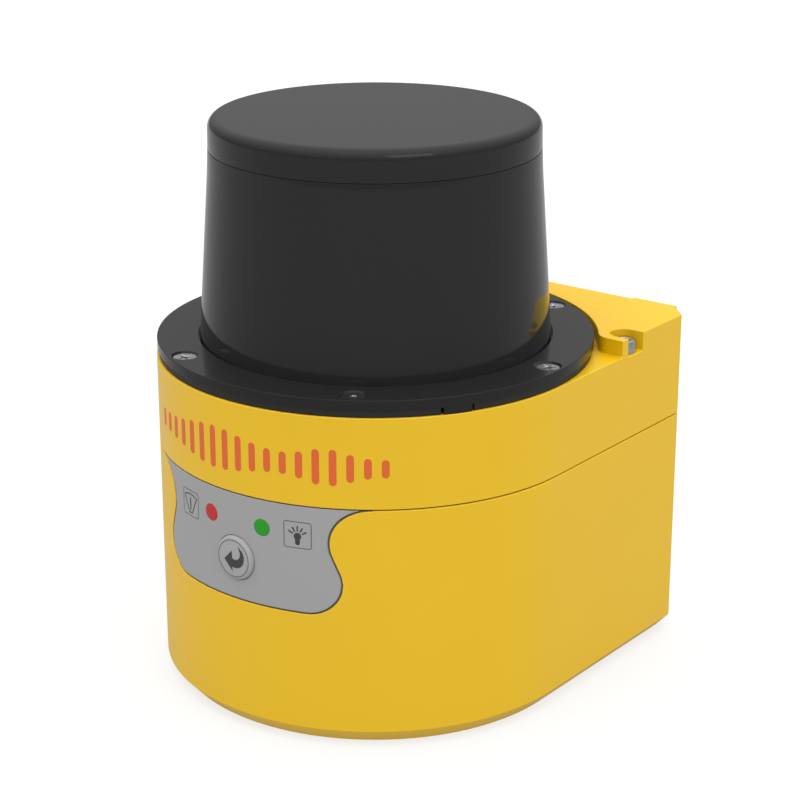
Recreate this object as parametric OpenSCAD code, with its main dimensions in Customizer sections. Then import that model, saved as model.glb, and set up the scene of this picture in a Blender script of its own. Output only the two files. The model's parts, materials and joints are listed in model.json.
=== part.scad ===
// Compact safety laser scanner: a round-fronted housing in two shells, a conical infrared
// window held down by a screwed ring, and a motor-driven mirror inside the window.
// Frame: the origin is on the mirror's axis at the underside, +Z up, the round front faces
// -Y, the flat mounting side faces +Y. All lengths are in millimetres.

/* [Housing] */
// Half width of the housing and radius of its round front
body_r = 51; // [50:0.5:62]
// Distance from the mirror's axis to the flat back face
rear_y = 57.8; // [57:0.2:70]
// Height of the seam between the lower and upper housing
seam_z = 57.1; // [57:0.1:70]
// Height of the upper housing from the seam to the window seat
upper_h = 21; // [20:0.5:28]
// Rise of the rear block above the window seat
block_rise = 3.9; // [3:0.1:5]
// Wall thickness of both shells
wall = 3; // [2:0.1:3.6]
// Thickness of the floor
floor_t = 4; // [3:0.5:5]
// Thickness of the deck under the window
deck_t = 5; // [5:0.5:6]
// Width of the bevel round the foot
foot_bevel_w = 3.3; // [1:0.1:4]
// Height of the bevel round the foot
foot_bevel_h = 3.7; // [1:0.1:5]
// Size of the bevel on the two rear corners
rear_bevel = 4.4; // [4:0.1:6]
// Height of the groove between the two shells
seam_gap = 0.3; // [0.1:0.05:0.6]
// Depth of the groove between the two shells
seam_depth = 0.5; // [0.3:0.1:1]

/* [Rear block and mounting pads] */
// Gap between the window ring and the rear block
ring_gap = 0.99; // [0.5:0.01:2]
// Where the front lip of the rear block stands
lip_y = 27; // [22:0.5:30]
// Radius of the corner between the lip and the arc wall
lip_corner_r = 4.5; // [2:0.1:6]
// Centre of the screw pockets across the housing, measured in from the side
pocket_inset = 3.3; // [3.3:0.1:4]
// Centre of the screw pockets behind the lip
pocket_back = 5.7; // [5.5:0.1:8]
// Radius of the screw pockets
pocket_r = 3.3; // [3:0.1:3.6]
// Depth of the pocket floor below the window seat
pocket_drop = 0.6; // [0:0.1:1]
// Height that the rear pads stand proud of the back face
pad_t = 1; // [0.5:0.1:2]
// Width of each rear pad
pad_w = 12; // [11:0.1:12]
// Distance from the middle to each rear pad's centre line
pad_x = 40.5; // [38:0.5:42]
// Height of the lower rear mounting holes
mount_low_z = 20; // [14:1:24]
// Height difference between the lower and upper rear mounting holes
mount_pitch_z = 46; // [44:0.5:50]
// Distance from the middle to the mounting holes in the floor
base_mount_x = 34; // [33:0.5:36]
// How far in front of the axis the front mounting holes in the floor are
base_mount_front = 18; // [12:1:20]
// How far behind the axis the rear mounting holes in the floor are
base_mount_back = 34; // [30:1:38]

/* [Window] */
// Outer radius of the window where it leaves the ring
window_foot_r = 40.87; // [40:0.05:41.5]
// Outer radius of the window at its bend
window_neck_r = 38.2; // [37.9:0.05:40]
// Height of the bend above the window seat
window_neck_h = 42.9; // [40:0.5:46]
// Height of the window's top edge above the window seat
window_h = 47.8; // [46.5:0.1:54]
// Height of the cap's top above the window seat
cap_top_h = 55.1; // [54.5:0.1:62]
// Outer radius of the cap under its rounded edge
cap_r = 37.8; // [37.6:0.05:38.1]
// Radius of the cap's rounded edge
cap_round = 2.5; // [1:0.1:3]
// Wall thickness of the window and its cap
window_t = 2; // [1.6:0.1:2.4]
// Width of the clamped flange round the window's foot
flange_w = 2.3; // [1.5:0.1:2.5]
// Thickness of the window's flange
flange_t = 1.2; // [0.8:0.1:1.4]
// Height of the clamping ring
ring_h = 2.3; // [2:0.1:3]
// Thickness of the gasket under the clamping ring
gasket_t = 1.7; // [1:0.1:2]
// How far the clamping ring stays inside the housing's edge
ring_inset = 0.14; // [0.1:0.02:0.5]
// How far the gasket stays inside the clamping ring's edge
gasket_inset = 0.45; // [0.2:0.05:1]
// Angle of the key that drops from the ring
key_angle = -31.8; // [-40:0.5:-25]
// Width of the ring's key as an angle
key_span = 7.4; // [4:0.2:10]
// Number of screws in the ring
ring_screw_count = 6; // [4:1:8]
// Angle of the first ring screw
ring_screw_start = 2; // [0:1:10]

/* [Front panel] */
// Thickness of the front panel
panel_t = 0.8; // [0.6:0.1:1]
// Gap round the front panel
panel_gap = 0.45; // [0.2:0.05:0.6]
// Half width of the panel's foot to the centre of its round corner
panel_corner_x = 17.6; // [15:0.1:18]
// Radius of the panel's lower corners
panel_corner_r = 7.1; // [5:0.1:8]
// Depth of the lower corners' centres below the seam
panel_corner_drop = 18; // [16:0.5:20]
// Half width to the centre of the flare at the panel's top
panel_flare_x = 30.6; // [29:0.1:31.5]
// Radius of the flare at the panel's top
panel_flare_r = 8.5; // [8.3:0.1:8.8]
// Depth of the flare's centre below the seam
panel_flare_drop = 8.3; // [8.2:0.1:9]
// Radius of the two status lights
light_r = 2; // [1.5:0.1:2.5]
// Angle of each status light from the middle of the front
light_angle = 8.3; // [7:0.1:10]
// Depth of the status lights below the seam
light_drop = 6.6; // [5:0.1:8]
// Radius of the reset button
button_r = 5.2; // [4.5:0.1:6]
// Depth of the reset button's centre below the seam
button_drop = 15.4; // [14:0.1:17]
// Height that the reset button stands proud of the panel
button_proud = 0.8; // [0.7:0.1:1.2]
// Gap round the reset button
button_gap = 0.1; // [0.05:0.05:0.3]
// Distance that the reset button travels
button_travel = 0.6; // [0.4:0.1:0.7]

/* [Electronics] */
// Thickness of each circuit board
board_t = 1.6; // [1:0.1:2]
// Height of the main board above the floor
main_board_rise = 16; // [14:1:17]
// Height of the power board above the main board
board_pitch = 14; // [12:1:15]
// Distance from the axis to the board pillars across the housing
pillar_x = 22; // [20:1:24]
// Distance from the axis to the board pillars along the housing
pillar_y = 29; // [26:0.5:30]
// Radius of the connectors' threads
connector_r = 6; // [5:0.5:6]
// Distance from the middle to each connector
connector_x = 13; // [10:0.5:15]
// Height of the connectors
connector_z = 17; // [15:0.5:18]
// Width of the connector bay
bay_w = 52; // [44:1:54]
// Height of the connector bay's roof
bay_h = 33; // [31:0.5:34]
// Depth of the connector bay
bay_d = 16; // [14:0.5:17]

/* [Scanning mirror] */
// Radius of the motor's shaft
shaft_r = 2; // [1.8:0.1:2.2]
// Outer radius of the shaft's bearings
bearing_r = 5; // [4.5:0.5:6]
// Width of the shaft's bearings
bearing_w = 4; // [3:0.5:5]
// Outer radius of the motor's windings
stator_r = 14; // [12:0.5:15]
// Air gap between the windings and the magnets
air_gap = 0.6; // [0.4:0.1:1]
// Outer radius of the motor's bell
bell_r = 18; // [17.5:0.5:19]
// Radius of the round mirror
mirror_r = 16; // [13:0.5:17]
// Thickness of the mirror
mirror_t = 2; // [1.5:0.1:3]
// Height of the mirror's centre above the window seat
mirror_rise = 24; // [22:0.5:25]
// Radius of the encoder disc
encoder_r = 24; // [22:0.5:25]
// Radius of the receiver lens
lens_r = 12; // [10:0.5:13]
// Radius of the laser module
laser_r = 3.4; // [2.5:0.1:4]

/* [Hidden] */
$fn = 128;

far = 200;                                  // longer than the whole scanner
hair = 0.05;                                // clearance round a fastener
lower_top = seam_z - seam_gap / 2;
upper_bottom = seam_z + seam_gap / 2;
seat_z = seam_z + upper_h;
block_top = seat_z + block_rise;
ring_bottom = seat_z + gasket_t;
ring_top = ring_bottom + ring_h;
ring_r = body_r - ring_inset;
cone_slope = (window_foot_r - window_neck_r) / (seat_z + window_neck_h - ring_top);
window_base_r = window_foot_r + cone_slope * (ring_top - ring_bottom);
flange_r = window_base_r + flange_w;
ring_hole_r = window_foot_r + 0.35;
ring_screw_r = (flange_r + ring_r) / 2;
window_top = seat_z + window_h;
cap_top = seat_z + cap_top_h;
deck_bottom = seat_z - deck_t;
deck_hole_r = window_foot_r - 3;

m3_r = 1.5;                                 // M3 thread
m3_head_r = 2.75;                           // M3 socket head
m3_head_h = 3;
m3_csk_r = 2.85;                            // M3 countersunk head
m5_tap_r = 2.1;                             // M5 tapped hole
insert_r = 3.5;
insert_l = 8;
boss_r = 5.5;

pocket_x = body_r - pocket_inset;
pocket_y = lip_y + pocket_back;
pocket_z = seat_z - pocket_drop;
housing_screw_l = 30;
screw_column_r = 4.6;
arc_wall_r = ring_r + ring_gap;
pad_z = [mount_low_z, mount_low_z + mount_pitch_z];

panel_r = body_r;
panel_back_r = panel_r - panel_t;
light_z = seam_z - light_drop;
button_z = seam_z - button_drop;
button_cap_l = 2.6;
stem_r = 2;
collar_r = 6.2;
collar_t = 1;
collar_y = sqrt((body_r - wall) ^ 2 - collar_r ^ 2) - 0.15;
plunger_r = 1.7;
switch_w = 6;
switch_t = 3.5;
plunger_in = 2;                             // how deep the plunger sits in the switch
display_w = 49;
display_y = sqrt((body_r - wall) ^ 2 - (display_w / 2 + 0.5) ^ 2) - 1.6;
display_h = 22.4;
display_z = seam_z - 24;
display_boss_x = 19;
display_boss_z = display_z + 3;
display_boss_r = 3;
display_boss_y = sqrt((body_r - wall) ^ 2 - (display_boss_x - display_boss_r) ^ 2) + 0.3;
led_h = 1.2;
stem_end = display_y + switch_t + button_travel + 0.3;

pillar_r = 3.6;
spacer_r = 3;
main_board_z = floor_t + main_board_rise;
power_board_z = main_board_z + board_t + board_pitch;
board_r = body_r - wall - 4;
bay_front_y = rear_y - bay_d;
connector_tail = 3;                         // from the bay's inner face to the connector's end
board_back_y = bay_front_y - wall - connector_tail - 0.5;
board_front_y = board_t + 3.4 - display_y;
vent_r = 2.5;
vent_z = bay_h - 5;
connector_back = 3;                         // from the connector's end to the back face
contact_set = 8;                            // depth of the contact face from the back face
link_w = 20;
flex_w = 10;
flex_t = 0.3;

chassis_t = 4;
chassis_bottom = deck_bottom - chassis_t;
chassis_r = min(body_r, rear_y) - wall - 3;
chassis_screw_r = (deck_hole_r + chassis_r) / 2 + 0.5;
tube_r = bearing_r + 2;
shaft_fit = 0.03;
tube_bottom = deck_bottom - 20;
tube_top = deck_bottom + 3;
stator_z = tube_bottom + 5;
stator_h = 8;
bell_t = 2;
bell_z = tube_bottom - 3;
bell_wall = 1.6;
magnet_r = bell_r - bell_wall;
shaft_bottom = bell_z;
encoder_z = tube_top + 2.5;
encoder_t = 0.8;
carrier_z = encoder_z + encoder_t;
carrier_r = mirror_r + 1.2;
weight_r = carrier_r + 3;
weight_h = 4;
turn_gap = 0.8;                             // room round what turns
mirror_z = seat_z + mirror_rise;
mirror_step = mirror_t * sqrt(2);           // the mirror's thickness measured along the axis
head_z = mirror_z + mirror_r + 3;
head_t = 3;
post_w = 24;
post_r = window_neck_r - window_t - 2.8;
post_front_y = 27.5;
flex_y = post_r + 0.1;
barrel_t = 1.4;
barrel_h = 8.4;
lens_t = 4.6;
lens_curve_r = 28;
monitor_t = 1.2;

// ---------- shared shapes ----------

// Half space with the bevelled foot, reaching out to a distance along one direction
module bevelled_side(reach, turn, h) {
    rotate([0, 0, turn]) rotate([90, 0, 0]) translate([0, 0, -far]) linear_extrude(2 * far)
        polygon([[-far, 0], [reach - foot_bevel_w, 0], [reach, foot_bevel_h], [reach, h], [-far, h]]);
}

// Outside of the housing from the ground up to a height
module housing_blank(h) {
    corner_reach = (body_r + rear_y - rear_bevel) / sqrt(2) + 0.5;
    rotate([0, 0, 180]) rotate_extrude(angle = 180)
        polygon([[0, 0], [body_r - foot_bevel_w, 0], [body_r, foot_bevel_h], [body_r, h], [0, h]]);
    intersection() {
        bevelled_side(body_r, 0, h);
        bevelled_side(body_r, 180, h);
        bevelled_side(rear_y, 90, h);
        bevelled_side(corner_reach, 45, h);
        bevelled_side(corner_reach, 135, h);
        linear_extrude(h) rear_outline(0);
    }
}

// Plan outline of the housing, moved inwards by a distance
module footprint(inset = 0) {
    half_disc(body_r - inset, 180);
    rear_outline(inset);
}

// Plan outline of the housing behind the mirror's axis
module rear_outline(inset) {
    r = body_r - inset;
    y = rear_y - inset;
    c = rear_bevel - inset * (2 - sqrt(2));
    polygon([[-r, 0], [r, 0], [r, y - c], [r - c, y], [c - r, y], [-r, y - c]]);
}

// Half of a disc in plan, on the side that an angle turns it to: 0 is the rear, 180 the front
module half_disc(r, turn) {
    rotate(turn) intersection() {
        circle(r);
        translate([-far, 0]) square([2 * far, far]);
    }
}

// Flat ring or tube standing on a height
module tube(r_in, r_out, z, h) {
    translate([0, 0, z]) linear_extrude(h) difference() {
        circle(r_out);
        circle(r_in);
    }
}

// Disc or rod standing on a height
module disc(r, z, h) {
    translate([0, 0, z]) cylinder(r = r, h = h);
}

// Rod along +Y from one distance to another
module rod_y(r, x, z, y1, y2) {
    translate([x, y1, z]) rotate([-90, 0, 0]) cylinder(r = r, h = y2 - y1);
}

// Rod pointing out of the front at an angle from its middle
module rod_out(r, angle, z, r1, r2) {
    rotate([0, 0, angle]) rod_y(r, 0, z, -r2, -r1);
}

// Block given by its lowest and highest corners
module block(lo, hi) {
    translate(lo) cube(hi - lo);
}

// Repeats a shape at the left and right
module both_sides() {
    children();
    mirror([1, 0, 0]) children();
}

// Repeats a shape round the mirror's axis
module around(count, start, r) {
    for (i = [0:count - 1]) rotate([0, 0, start + i * 360 / count]) translate([r, 0, 0]) children();
}

// Places of the four board pillars
module at_pillars() {
    for (x = [-pillar_x, pillar_x], y = [-pillar_y, pillar_y]) translate([x, y, 0]) children();
}

// Places of the four floor mounting holes
module at_base_mounts() {
    for (x = [-base_mount_x, base_mount_x], y = [-base_mount_front, base_mount_back])
        translate([x, y, 0]) children();
}

// Pan-head screw with a hexagon socket, its head standing on a height and pointing up
module socket_screw(z, length, head_r = m3_head_r, head_h = m3_head_h) {
    difference() {
        union() {
            disc(head_r, z, head_h);
            disc(m3_r - hair, z - length, length + 0.1);
        }
        translate([0, 0, z + head_h - 1.4]) cylinder(r = 1.45, h = 2, $fn = 6);
    }
}

// ---------- housing ----------

// Rear pads between two heights
module rear_pads(z1, z2) {
    both_sides() block([pad_x - pad_w / 2, rear_y - 1, z1], [pad_x + pad_w / 2, rear_y + pad_t, z2]);
}

// Boss behind one rear mounting hole, and the hole for its insert
module rear_boss(z) {
    both_sides() rod_y(boss_r, pad_x, z, rear_y - insert_l - 3, rear_y - 0.5);
}

module rear_insert_hole(z) {
    both_sides() rod_y(insert_r, pad_x, z, rear_y + pad_t - insert_l - 1, rear_y + pad_t + 1);
}

// Points along an arc round a centre, from one angle to another
function arc(centre, r, a1, a2, steps = 14) =
    [for (i = [0:steps]) let (a = a1 + (a2 - a1) * i / steps) centre + r * [cos(a), sin(a)]];

// Outline of the front panel seen from the front: a round corner runs into a hollow flare
module panel_outline(grow = 0) {
    corner = [panel_corner_x, seam_z - panel_corner_drop];
    flare = [panel_flare_x, seam_z - panel_flare_drop];
    way = flare - corner;
    lean = atan2(way[1], way[0]) - acos((panel_corner_r + panel_flare_r) / norm(way));
    flare_r = panel_flare_r - grow;
    top = lower_top + (grow > 0 ? 1 : 0);
    tip = 180 - asin(min(1, (lower_top - flare[1]) / flare_r));
    half = concat(
        arc(corner, panel_corner_r + grow, -90, lean),
        arc(flare, flare_r, lean + 180, tip),
        [[flare[0] + flare_r * cos(tip), top]]
    );
    polygon(concat(half, [for (i = [len(half) - 1:-1:0]) [-half[i][0], half[i][1]]]));
}

// Slice of the round front inside the panel's outline, between two radii
module panel_slice(grow, r1, r2) {
    intersection() {
        rotate([90, 0, 0]) linear_extrude(body_r + 5) panel_outline(grow);
        tube(r1, r2, 0, lower_top);
    }
}

// Rods where the two status lights pass through the front
module light_holes(r) {
    for (side = [-1, 1]) rod_out(r, side * light_angle, light_z, board_r - 6, body_r + 1);
}

module lower_housing() color("gold") difference() {
    union() {
        difference() {
            housing_blank(lower_top);
            translate([0, 0, floor_t]) linear_extrude(far) footprint(wall);
        }
        rear_pads(foot_bevel_h, lower_top);
        rear_boss(pad_z[0]);
        block([-bay_w / 2 - wall, bay_front_y - wall, floor_t - 1],
            [bay_w / 2 + wall, rear_y - 1, bay_h + wall]);
        at_base_mounts() disc(boss_r, floor_t - 1, insert_l + 3 - floor_t + 1);
        at_pillars() disc(pillar_r, floor_t - 1, main_board_z - floor_t + 1);
        both_sides() rod_y(display_boss_r, display_boss_x, display_boss_z, -display_boss_y, -display_y);
        intersection() {
            both_sides() translate([pocket_x, pocket_y, 0])
                disc(screw_column_r, pocket_z - housing_screw_l - 6, far);
            linear_extrude(lower_top) footprint(wall / 2);
        }
    }
    panel_slice(panel_gap, panel_back_r, body_r + 1);
    light_holes(light_r + 0.1);
    rod_y(button_r + button_gap, 0, button_z, -body_r - 1, -body_r + wall + 1);
    block([-bay_w / 2, bay_front_y, floor_t], [bay_w / 2, rear_y + 1, bay_h]);
    both_sides() rod_y(connector_r, connector_x, connector_z, bay_front_y - wall - 1, bay_front_y + 1);
    rod_y(vent_r, 0, vent_z, bay_front_y - wall - 1, bay_front_y + 1);
    rear_insert_hole(pad_z[0]);
    at_base_mounts() disc(insert_r, -1, insert_l + 1);
    at_pillars() disc(m3_r, main_board_z - 10, 11);
    both_sides() rod_y(1, display_boss_x, display_boss_z, -display_y - 3.5, -display_y + 1);
    both_sides() translate([pocket_x, pocket_y, 0]) disc(m3_r, pocket_z - housing_screw_l - 1, far);
}

// Plan outline of the rear block
module block_outline() {
    corner_y = lip_y + lip_corner_r;
    corner_x = sqrt((arc_wall_r + lip_corner_r) ^ 2 - corner_y ^ 2);
    touch = atan2(corner_y, corner_x);
    half = concat(
        arc([0, 0], arc_wall_r, 90, touch, 24),
        arc([corner_x, corner_y], lip_corner_r, touch + 180, 270, 10),
        [[far, lip_y], [far, far]]
    );
    intersection() {
        footprint();
        polygon(concat(half, [for (i = [len(half) - 1:-1:1]) [-half[i][0], half[i][1]]]));
    }
}

module upper_housing() color("gold") difference() {
    union() {
        difference() {
            intersection() {
                housing_blank(seat_z);
                translate([-far, -far, upper_bottom]) cube(2 * far);
            }
            translate([0, 0, -1]) linear_extrude(deck_bottom + 1) footprint(wall);
        }
        translate([0, 0, seat_z - 1]) linear_extrude(block_rise + 1) block_outline();
        rear_pads(upper_bottom, block_top);
        rear_boss(pad_z[1]);
        intersection() {
            both_sides() translate([pocket_x, pocket_y, 0]) disc(screw_column_r, upper_bottom, upper_h);
            linear_extrude(seat_z - 1) footprint(wall / 2);
        }
    }
    disc(deck_hole_r, 0, far);
    both_sides() {
        translate([pocket_x, pocket_y, pocket_z]) linear_extrude(far) {
            half_disc(pocket_r, 90);
            translate([0, -pocket_r]) square([pocket_inset + 1, 2 * pocket_r]);
        }
        translate([pocket_x, pocket_y, 0]) disc(m3_r + 0.1, 0, far);
    }
    around(ring_screw_count, ring_screw_start, ring_screw_r) disc(m3_r, deck_bottom + 1, far);
    around(3, 30, chassis_screw_r) disc(m3_r, 0, deck_bottom + 4);
    rear_insert_hole(pad_z[1]);
}

module housing_seal() color("dimgray") translate([0, 0, lower_top]) linear_extrude(seam_gap) difference() {
    footprint(seam_depth);
    footprint(wall - 0.4);
    both_sides() translate([pocket_x, pocket_y]) circle(m3_r + 0.1);
}

module threaded_inserts() color("silver") {
    at_base_mounts() tube(m5_tap_r, insert_r, 0, insert_l);
    for (z = pad_z) both_sides() difference() {
        rod_y(insert_r, pad_x, z, rear_y + pad_t - insert_l, rear_y + pad_t);
        rod_y(m5_tap_r, pad_x, z, 0, far);
    }
}

module housing_screws() color("silver") both_sides()
    translate([pocket_x, pocket_y, 0]) socket_screw(pocket_z, housing_screw_l);

// ---------- window ----------

// Wedge round the axis, in plan
module wedge(angle, span) {
    polygon([[0, 0], far * [cos(angle - span / 2), sin(angle - span / 2)],
        far * [cos(angle + span / 2), sin(angle + span / 2)]]);
}

module window_ring() color("#202020") difference() {
    union() {
        tube(ring_hole_r, ring_r, ring_bottom, ring_h);
        translate([0, 0, seat_z + 0.1]) linear_extrude(gasket_t) intersection() {
            difference() {
                circle(ring_r);
                circle(flange_r + 1);
            }
            wedge(key_angle, key_span);
        }
    }
    disc(flange_r + 0.1, ring_bottom - 1, flange_t + 1);
    around(ring_screw_count, ring_screw_start, ring_screw_r) {
        disc(m3_r + 0.1, 0, far);
        translate([0, 0, ring_top - 1.6]) cylinder(r1 = m3_r, r2 = m3_csk_r + 0.25, h = 1.6);
        disc(m3_csk_r + 0.25, ring_top - 0.001, 1);
    }
}

module window_gasket() color("#303030") difference() {
    translate([0, 0, seat_z]) linear_extrude(gasket_t) difference() {
        circle(ring_r - gasket_inset);
        circle(window_base_r - window_t);
        difference() {
            wedge(key_angle, key_span + 1.4);
            circle(flange_r + 0.6);
        }
    }
    around(ring_screw_count, ring_screw_start, ring_screw_r) disc(m3_r + 0.1, 0, far);
}

module ring_screws() color("silver") around(ring_screw_count, ring_screw_start, ring_screw_r) difference() {
    union() {
        translate([0, 0, ring_top - 1.5]) cylinder(r1 = m3_r, r2 = m3_csk_r, h = 1.35);
        disc(m3_r - hair, ring_top - 7.6, 6.2);
    }
    translate([0, 0, ring_top - 1.2]) cylinder(r = 1.15, h = 2, $fn = 6);
}

module optics_window() color("#181818") rotate_extrude() polygon([
    [window_base_r - window_t, ring_bottom], [flange_r, ring_bottom], [flange_r, ring_bottom + flange_t],
    [window_base_r - cone_slope * flange_t, ring_bottom + flange_t], [window_neck_r, seat_z + window_neck_h],
    [cap_edge_r(window_top), window_top], [cap_edge_r(window_top) - window_t, window_top],
    [window_neck_r - window_t, seat_z + window_neck_h]
]);

// Outer radius of the steep stretch between the bend and the cap's rounded edge
function cap_edge_r(z) = let (share = (z - seat_z - window_neck_h) / (cap_top_h - cap_round - window_neck_h))
    window_neck_r + (cap_r - window_neck_r) * share;

module window_cap() color("#181818") {
    spigot_r = cap_edge_r(window_top) - window_t - 0.1;
    spigot_t = 1.2;
    rim_r = cap_edge_r(window_top) - 0.5;
    inner_z = cap_top - window_t;
    steps = 16;
    rotate_extrude() polygon(concat(
        [[0, inner_z], [spigot_r - spigot_t, inner_z], [spigot_r - spigot_t, window_top - 4],
            [spigot_r, window_top - 4], [spigot_r, window_top], [rim_r, window_top],
            [rim_r, window_top + 0.2], [cap_edge_r(window_top + 0.2), window_top + 0.2]],
        [for (i = [0:steps]) let (a = 90 * i / steps)
            [cap_r - cap_round + cap_round * cos(a), cap_top - cap_round + cap_round * sin(a)]],
        [[0, cap_top]]
    ));
}

// ---------- front panel ----------

module front_panel() color("darkgray") difference() {
    panel_slice(0, panel_back_r, panel_r);
    light_holes(light_r);
    rod_y(button_r + button_gap, 0, button_z, -body_r - 1, -body_r + wall);
}

module panel_gasket() color("#505050") difference() {
    panel_slice(panel_gap - 0.02, panel_back_r, panel_r - 0.25);
    panel_slice(0.02, 0, far);
}

// Clear rod from a status light's lamp to the panel's face
module light_guide(side) intersection() {
    rod_out(light_r, side * light_angle, light_z, display_y / cos(light_angle) + led_h + 0.6, body_r + 1);
    disc(body_r, 0, seam_z);
}

module red_light_guide() color("crimson") light_guide(-1);

module green_light_guide() color("green") light_guide(1);

module reset_button() color("darkgray") union() {
    rod_y(button_r, 0, button_z, -body_r - button_proud, -body_r - button_proud + button_cap_l);
    rod_y(stem_r, 0, button_z, -body_r, -stem_end);
    rod_y(collar_r, 0, button_z, -collar_y, -collar_y + collar_t);
}

module switch_plunger() color("#303030")
    rod_y(plunger_r, 0, button_z, -stem_end, -display_y - switch_t + plunger_in);

module reset_switch() color("#303030") difference() {
    block([-switch_w / 2, -display_y - switch_t, button_z - switch_w / 2],
        [switch_w / 2, -display_y, button_z + switch_w / 2]);
    rod_y(plunger_r + hair, 0, button_z, -far, -display_y - switch_t + plunger_in + button_travel + 0.2);
}

module display_board() color("darkgreen") difference() {
    union() {
        block([-display_w / 2, -display_y, display_z],
            [display_w / 2, -display_y + board_t, display_z + display_h]);
        block([-7, -display_y + board_t, display_z + 3], [7, -display_y + board_t + 2.4, display_z + 8]);
        both_sides()
            block([10, -display_y + board_t, display_z + 12], [16, -display_y + board_t + 1.2, display_z + 18]);
    }
    both_sides() rod_y(1.1, display_boss_x, display_boss_z, -far, far);
}

module display_screws() color("silver") both_sides() {
    rod_y(0.95, display_boss_x, display_boss_z, -display_y - 3, -display_y + board_t + 0.5);
    rod_y(1.9, display_boss_x, display_boss_z, -display_y + board_t, -display_y + board_t + 1.4);
}

module status_leds() color("white") for (side = [-1, 1]) {
    x = side * display_y * tan(light_angle);
    block([x - 1.6, -display_y - led_h, light_z - 0.8], [x + 1.6, -display_y, light_z + 0.8]);
}

module display_cable() color("white") {
    y = -display_y + board_t + 2.4;
    block([-6, y, main_board_z + board_t], [6, y + 0.4, display_z + 8]);
}

// ---------- circuit boards and connectors ----------

// Plan outline of a horizontal board
module board_outline() intersection() {
    circle(board_r);
    translate([-far, board_front_y]) square([2 * far, board_back_y - board_front_y]);
}

module main_board() color("darkgreen") difference() {
    union() {
        translate([0, 0, main_board_z]) linear_extrude(board_t) board_outline();
        translate([-12, -14, main_board_z + board_t]) cube([24, 24, 2.5]);
        both_sides() block([27, -8, main_board_z + board_t], [33, 12, main_board_z + board_t + 7]);
        block([-7, flex_y - 3, main_board_z + board_t], [7, flex_y, main_board_z + board_t + 4]);
    }
    at_pillars() disc(m3_r + 0.1, 0, far);
}

module power_board() color("darkgreen") difference() {
    union() {
        translate([0, 0, power_board_z]) linear_extrude(board_t) board_outline();
        both_sides() translate([31, -6, power_board_z + board_t - 0.1]) cylinder(r = 5, h = 9);
        translate([-12, 12, power_board_z + board_t]) cube([24, 12, 4]);
    }
    at_pillars() disc(m3_r + 0.1, 0, far);
    block([-flex_w / 2 - 1, flex_y - 1, 0], [flex_w / 2 + 1, far, far]);
}

module board_spacers() color("silver") at_pillars()
    tube(m3_r + 0.1, spacer_r, main_board_z + board_t, board_pitch);

module board_screws() color("silver") at_pillars()
    socket_screw(power_board_z + board_t, board_t * 2 + board_pitch + 8, m3_head_r, 2.4);

module board_link() color("#202020")
    block([-link_w / 2, 16, main_board_z + board_t], [link_w / 2, 21, power_board_z]);

// Threaded plug connector facing backwards, with its contact face set back
module round_connector(x) {
    front = bay_front_y - wall;
    difference() {
        union() {
            rod_y(connector_r - 0.02, x, connector_z, front, rear_y - connector_back);
            rod_y(connector_r + 1.4, x, connector_z, bay_front_y, bay_front_y + 2);
            rod_y(connector_r - 1, x, connector_z, front - connector_tail, front + 0.5);
        }
        rod_y(connector_r - 1.4, x, connector_z, rear_y - contact_set, far);
    }
    for (turn = [45:90:315])
        rod_y(0.5, x + 2.2 * cos(turn), connector_z + 2.2 * sin(turn), rear_y - contact_set - 0.2, rear_y - 4);
}

module power_connector() color("silver") round_connector(-connector_x);

module data_connector() color("silver") round_connector(connector_x);

module connector_nuts() color("silver") both_sides() difference() {
    translate([connector_x, bay_front_y - wall - 2.2, connector_z]) rotate([-90, 0, 0])
        cylinder(r = connector_r + 2, h = 2.2, $fn = 6);
    rod_y(connector_r - 1, connector_x, connector_z, 0, far);
}

module vent_plug() color("#303030") union() {
    rod_y(vent_r, 0, vent_z, bay_front_y - wall, bay_front_y + 0.5);
    rod_y(vent_r + 1.1, 0, vent_z, bay_front_y, bay_front_y + 1.6);
}

// ---------- optics and motor ----------

// Plan outline of the pillar behind the mirror
module post_outline() intersection() {
    circle(post_r);
    translate([-post_w / 2, post_front_y]) square([post_w, far]);
}

// Places of the two screws that hold the head on the pillar
module at_head_screws() {
    both_sides() translate([7, post_front_y + 2.6, 0]) children();
}

module optics_chassis() color("lightgray") difference() {
    union() {
        disc(chassis_r, chassis_bottom, chassis_t);
        disc(tube_r, tube_bottom, tube_top - tube_bottom);
        translate([0, 0, chassis_bottom + 1]) linear_extrude(head_z - chassis_bottom - 1) post_outline();
    }
    disc(bearing_r, tube_bottom - 1, bearing_w + 1);
    disc(bearing_r, tube_top - bearing_w, bearing_w + 1);
    disc(bearing_r - 1, 0, far);
    around(3, 30, chassis_screw_r) disc(m3_r + 0.1, 0, far);
    block([-flex_w / 2 - 1, flex_y, 0], [flex_w / 2 + 1, flex_y + 1, far]);
    at_head_screws() disc(m3_r, head_z - 9, far);
}

module chassis_screws() color("silver") around(3, 30, chassis_screw_r) difference() {
    union() {
        disc(m3_head_r, chassis_bottom - 2, 2);
        disc(m3_r - hair, chassis_bottom - 0.5, chassis_t + 3.8);
    }
    translate([0, 0, chassis_bottom - 2.5]) cylinder(r = 1.2, h = 1.7, $fn = 6);
}

module motor_stator() color("peru") difference() {
    union() {
        tube(tube_r, tube_r + 2, stator_z, stator_h);
        for (i = [0:8]) rotate([0, 0, 40 * i])
            block([tube_r + 1, -1.4, stator_z + 1], [stator_r - 1, 1.4, stator_z + stator_h - 1]);
        for (i = [0:8]) rotate([0, 0, 40 * i]) intersection() {
            tube(stator_r - 1.4, stator_r, stator_z, stator_h);
            linear_extrude(far) wedge(0, 32);
        }
    }
    disc(tube_r, 0, far);
}

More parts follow.
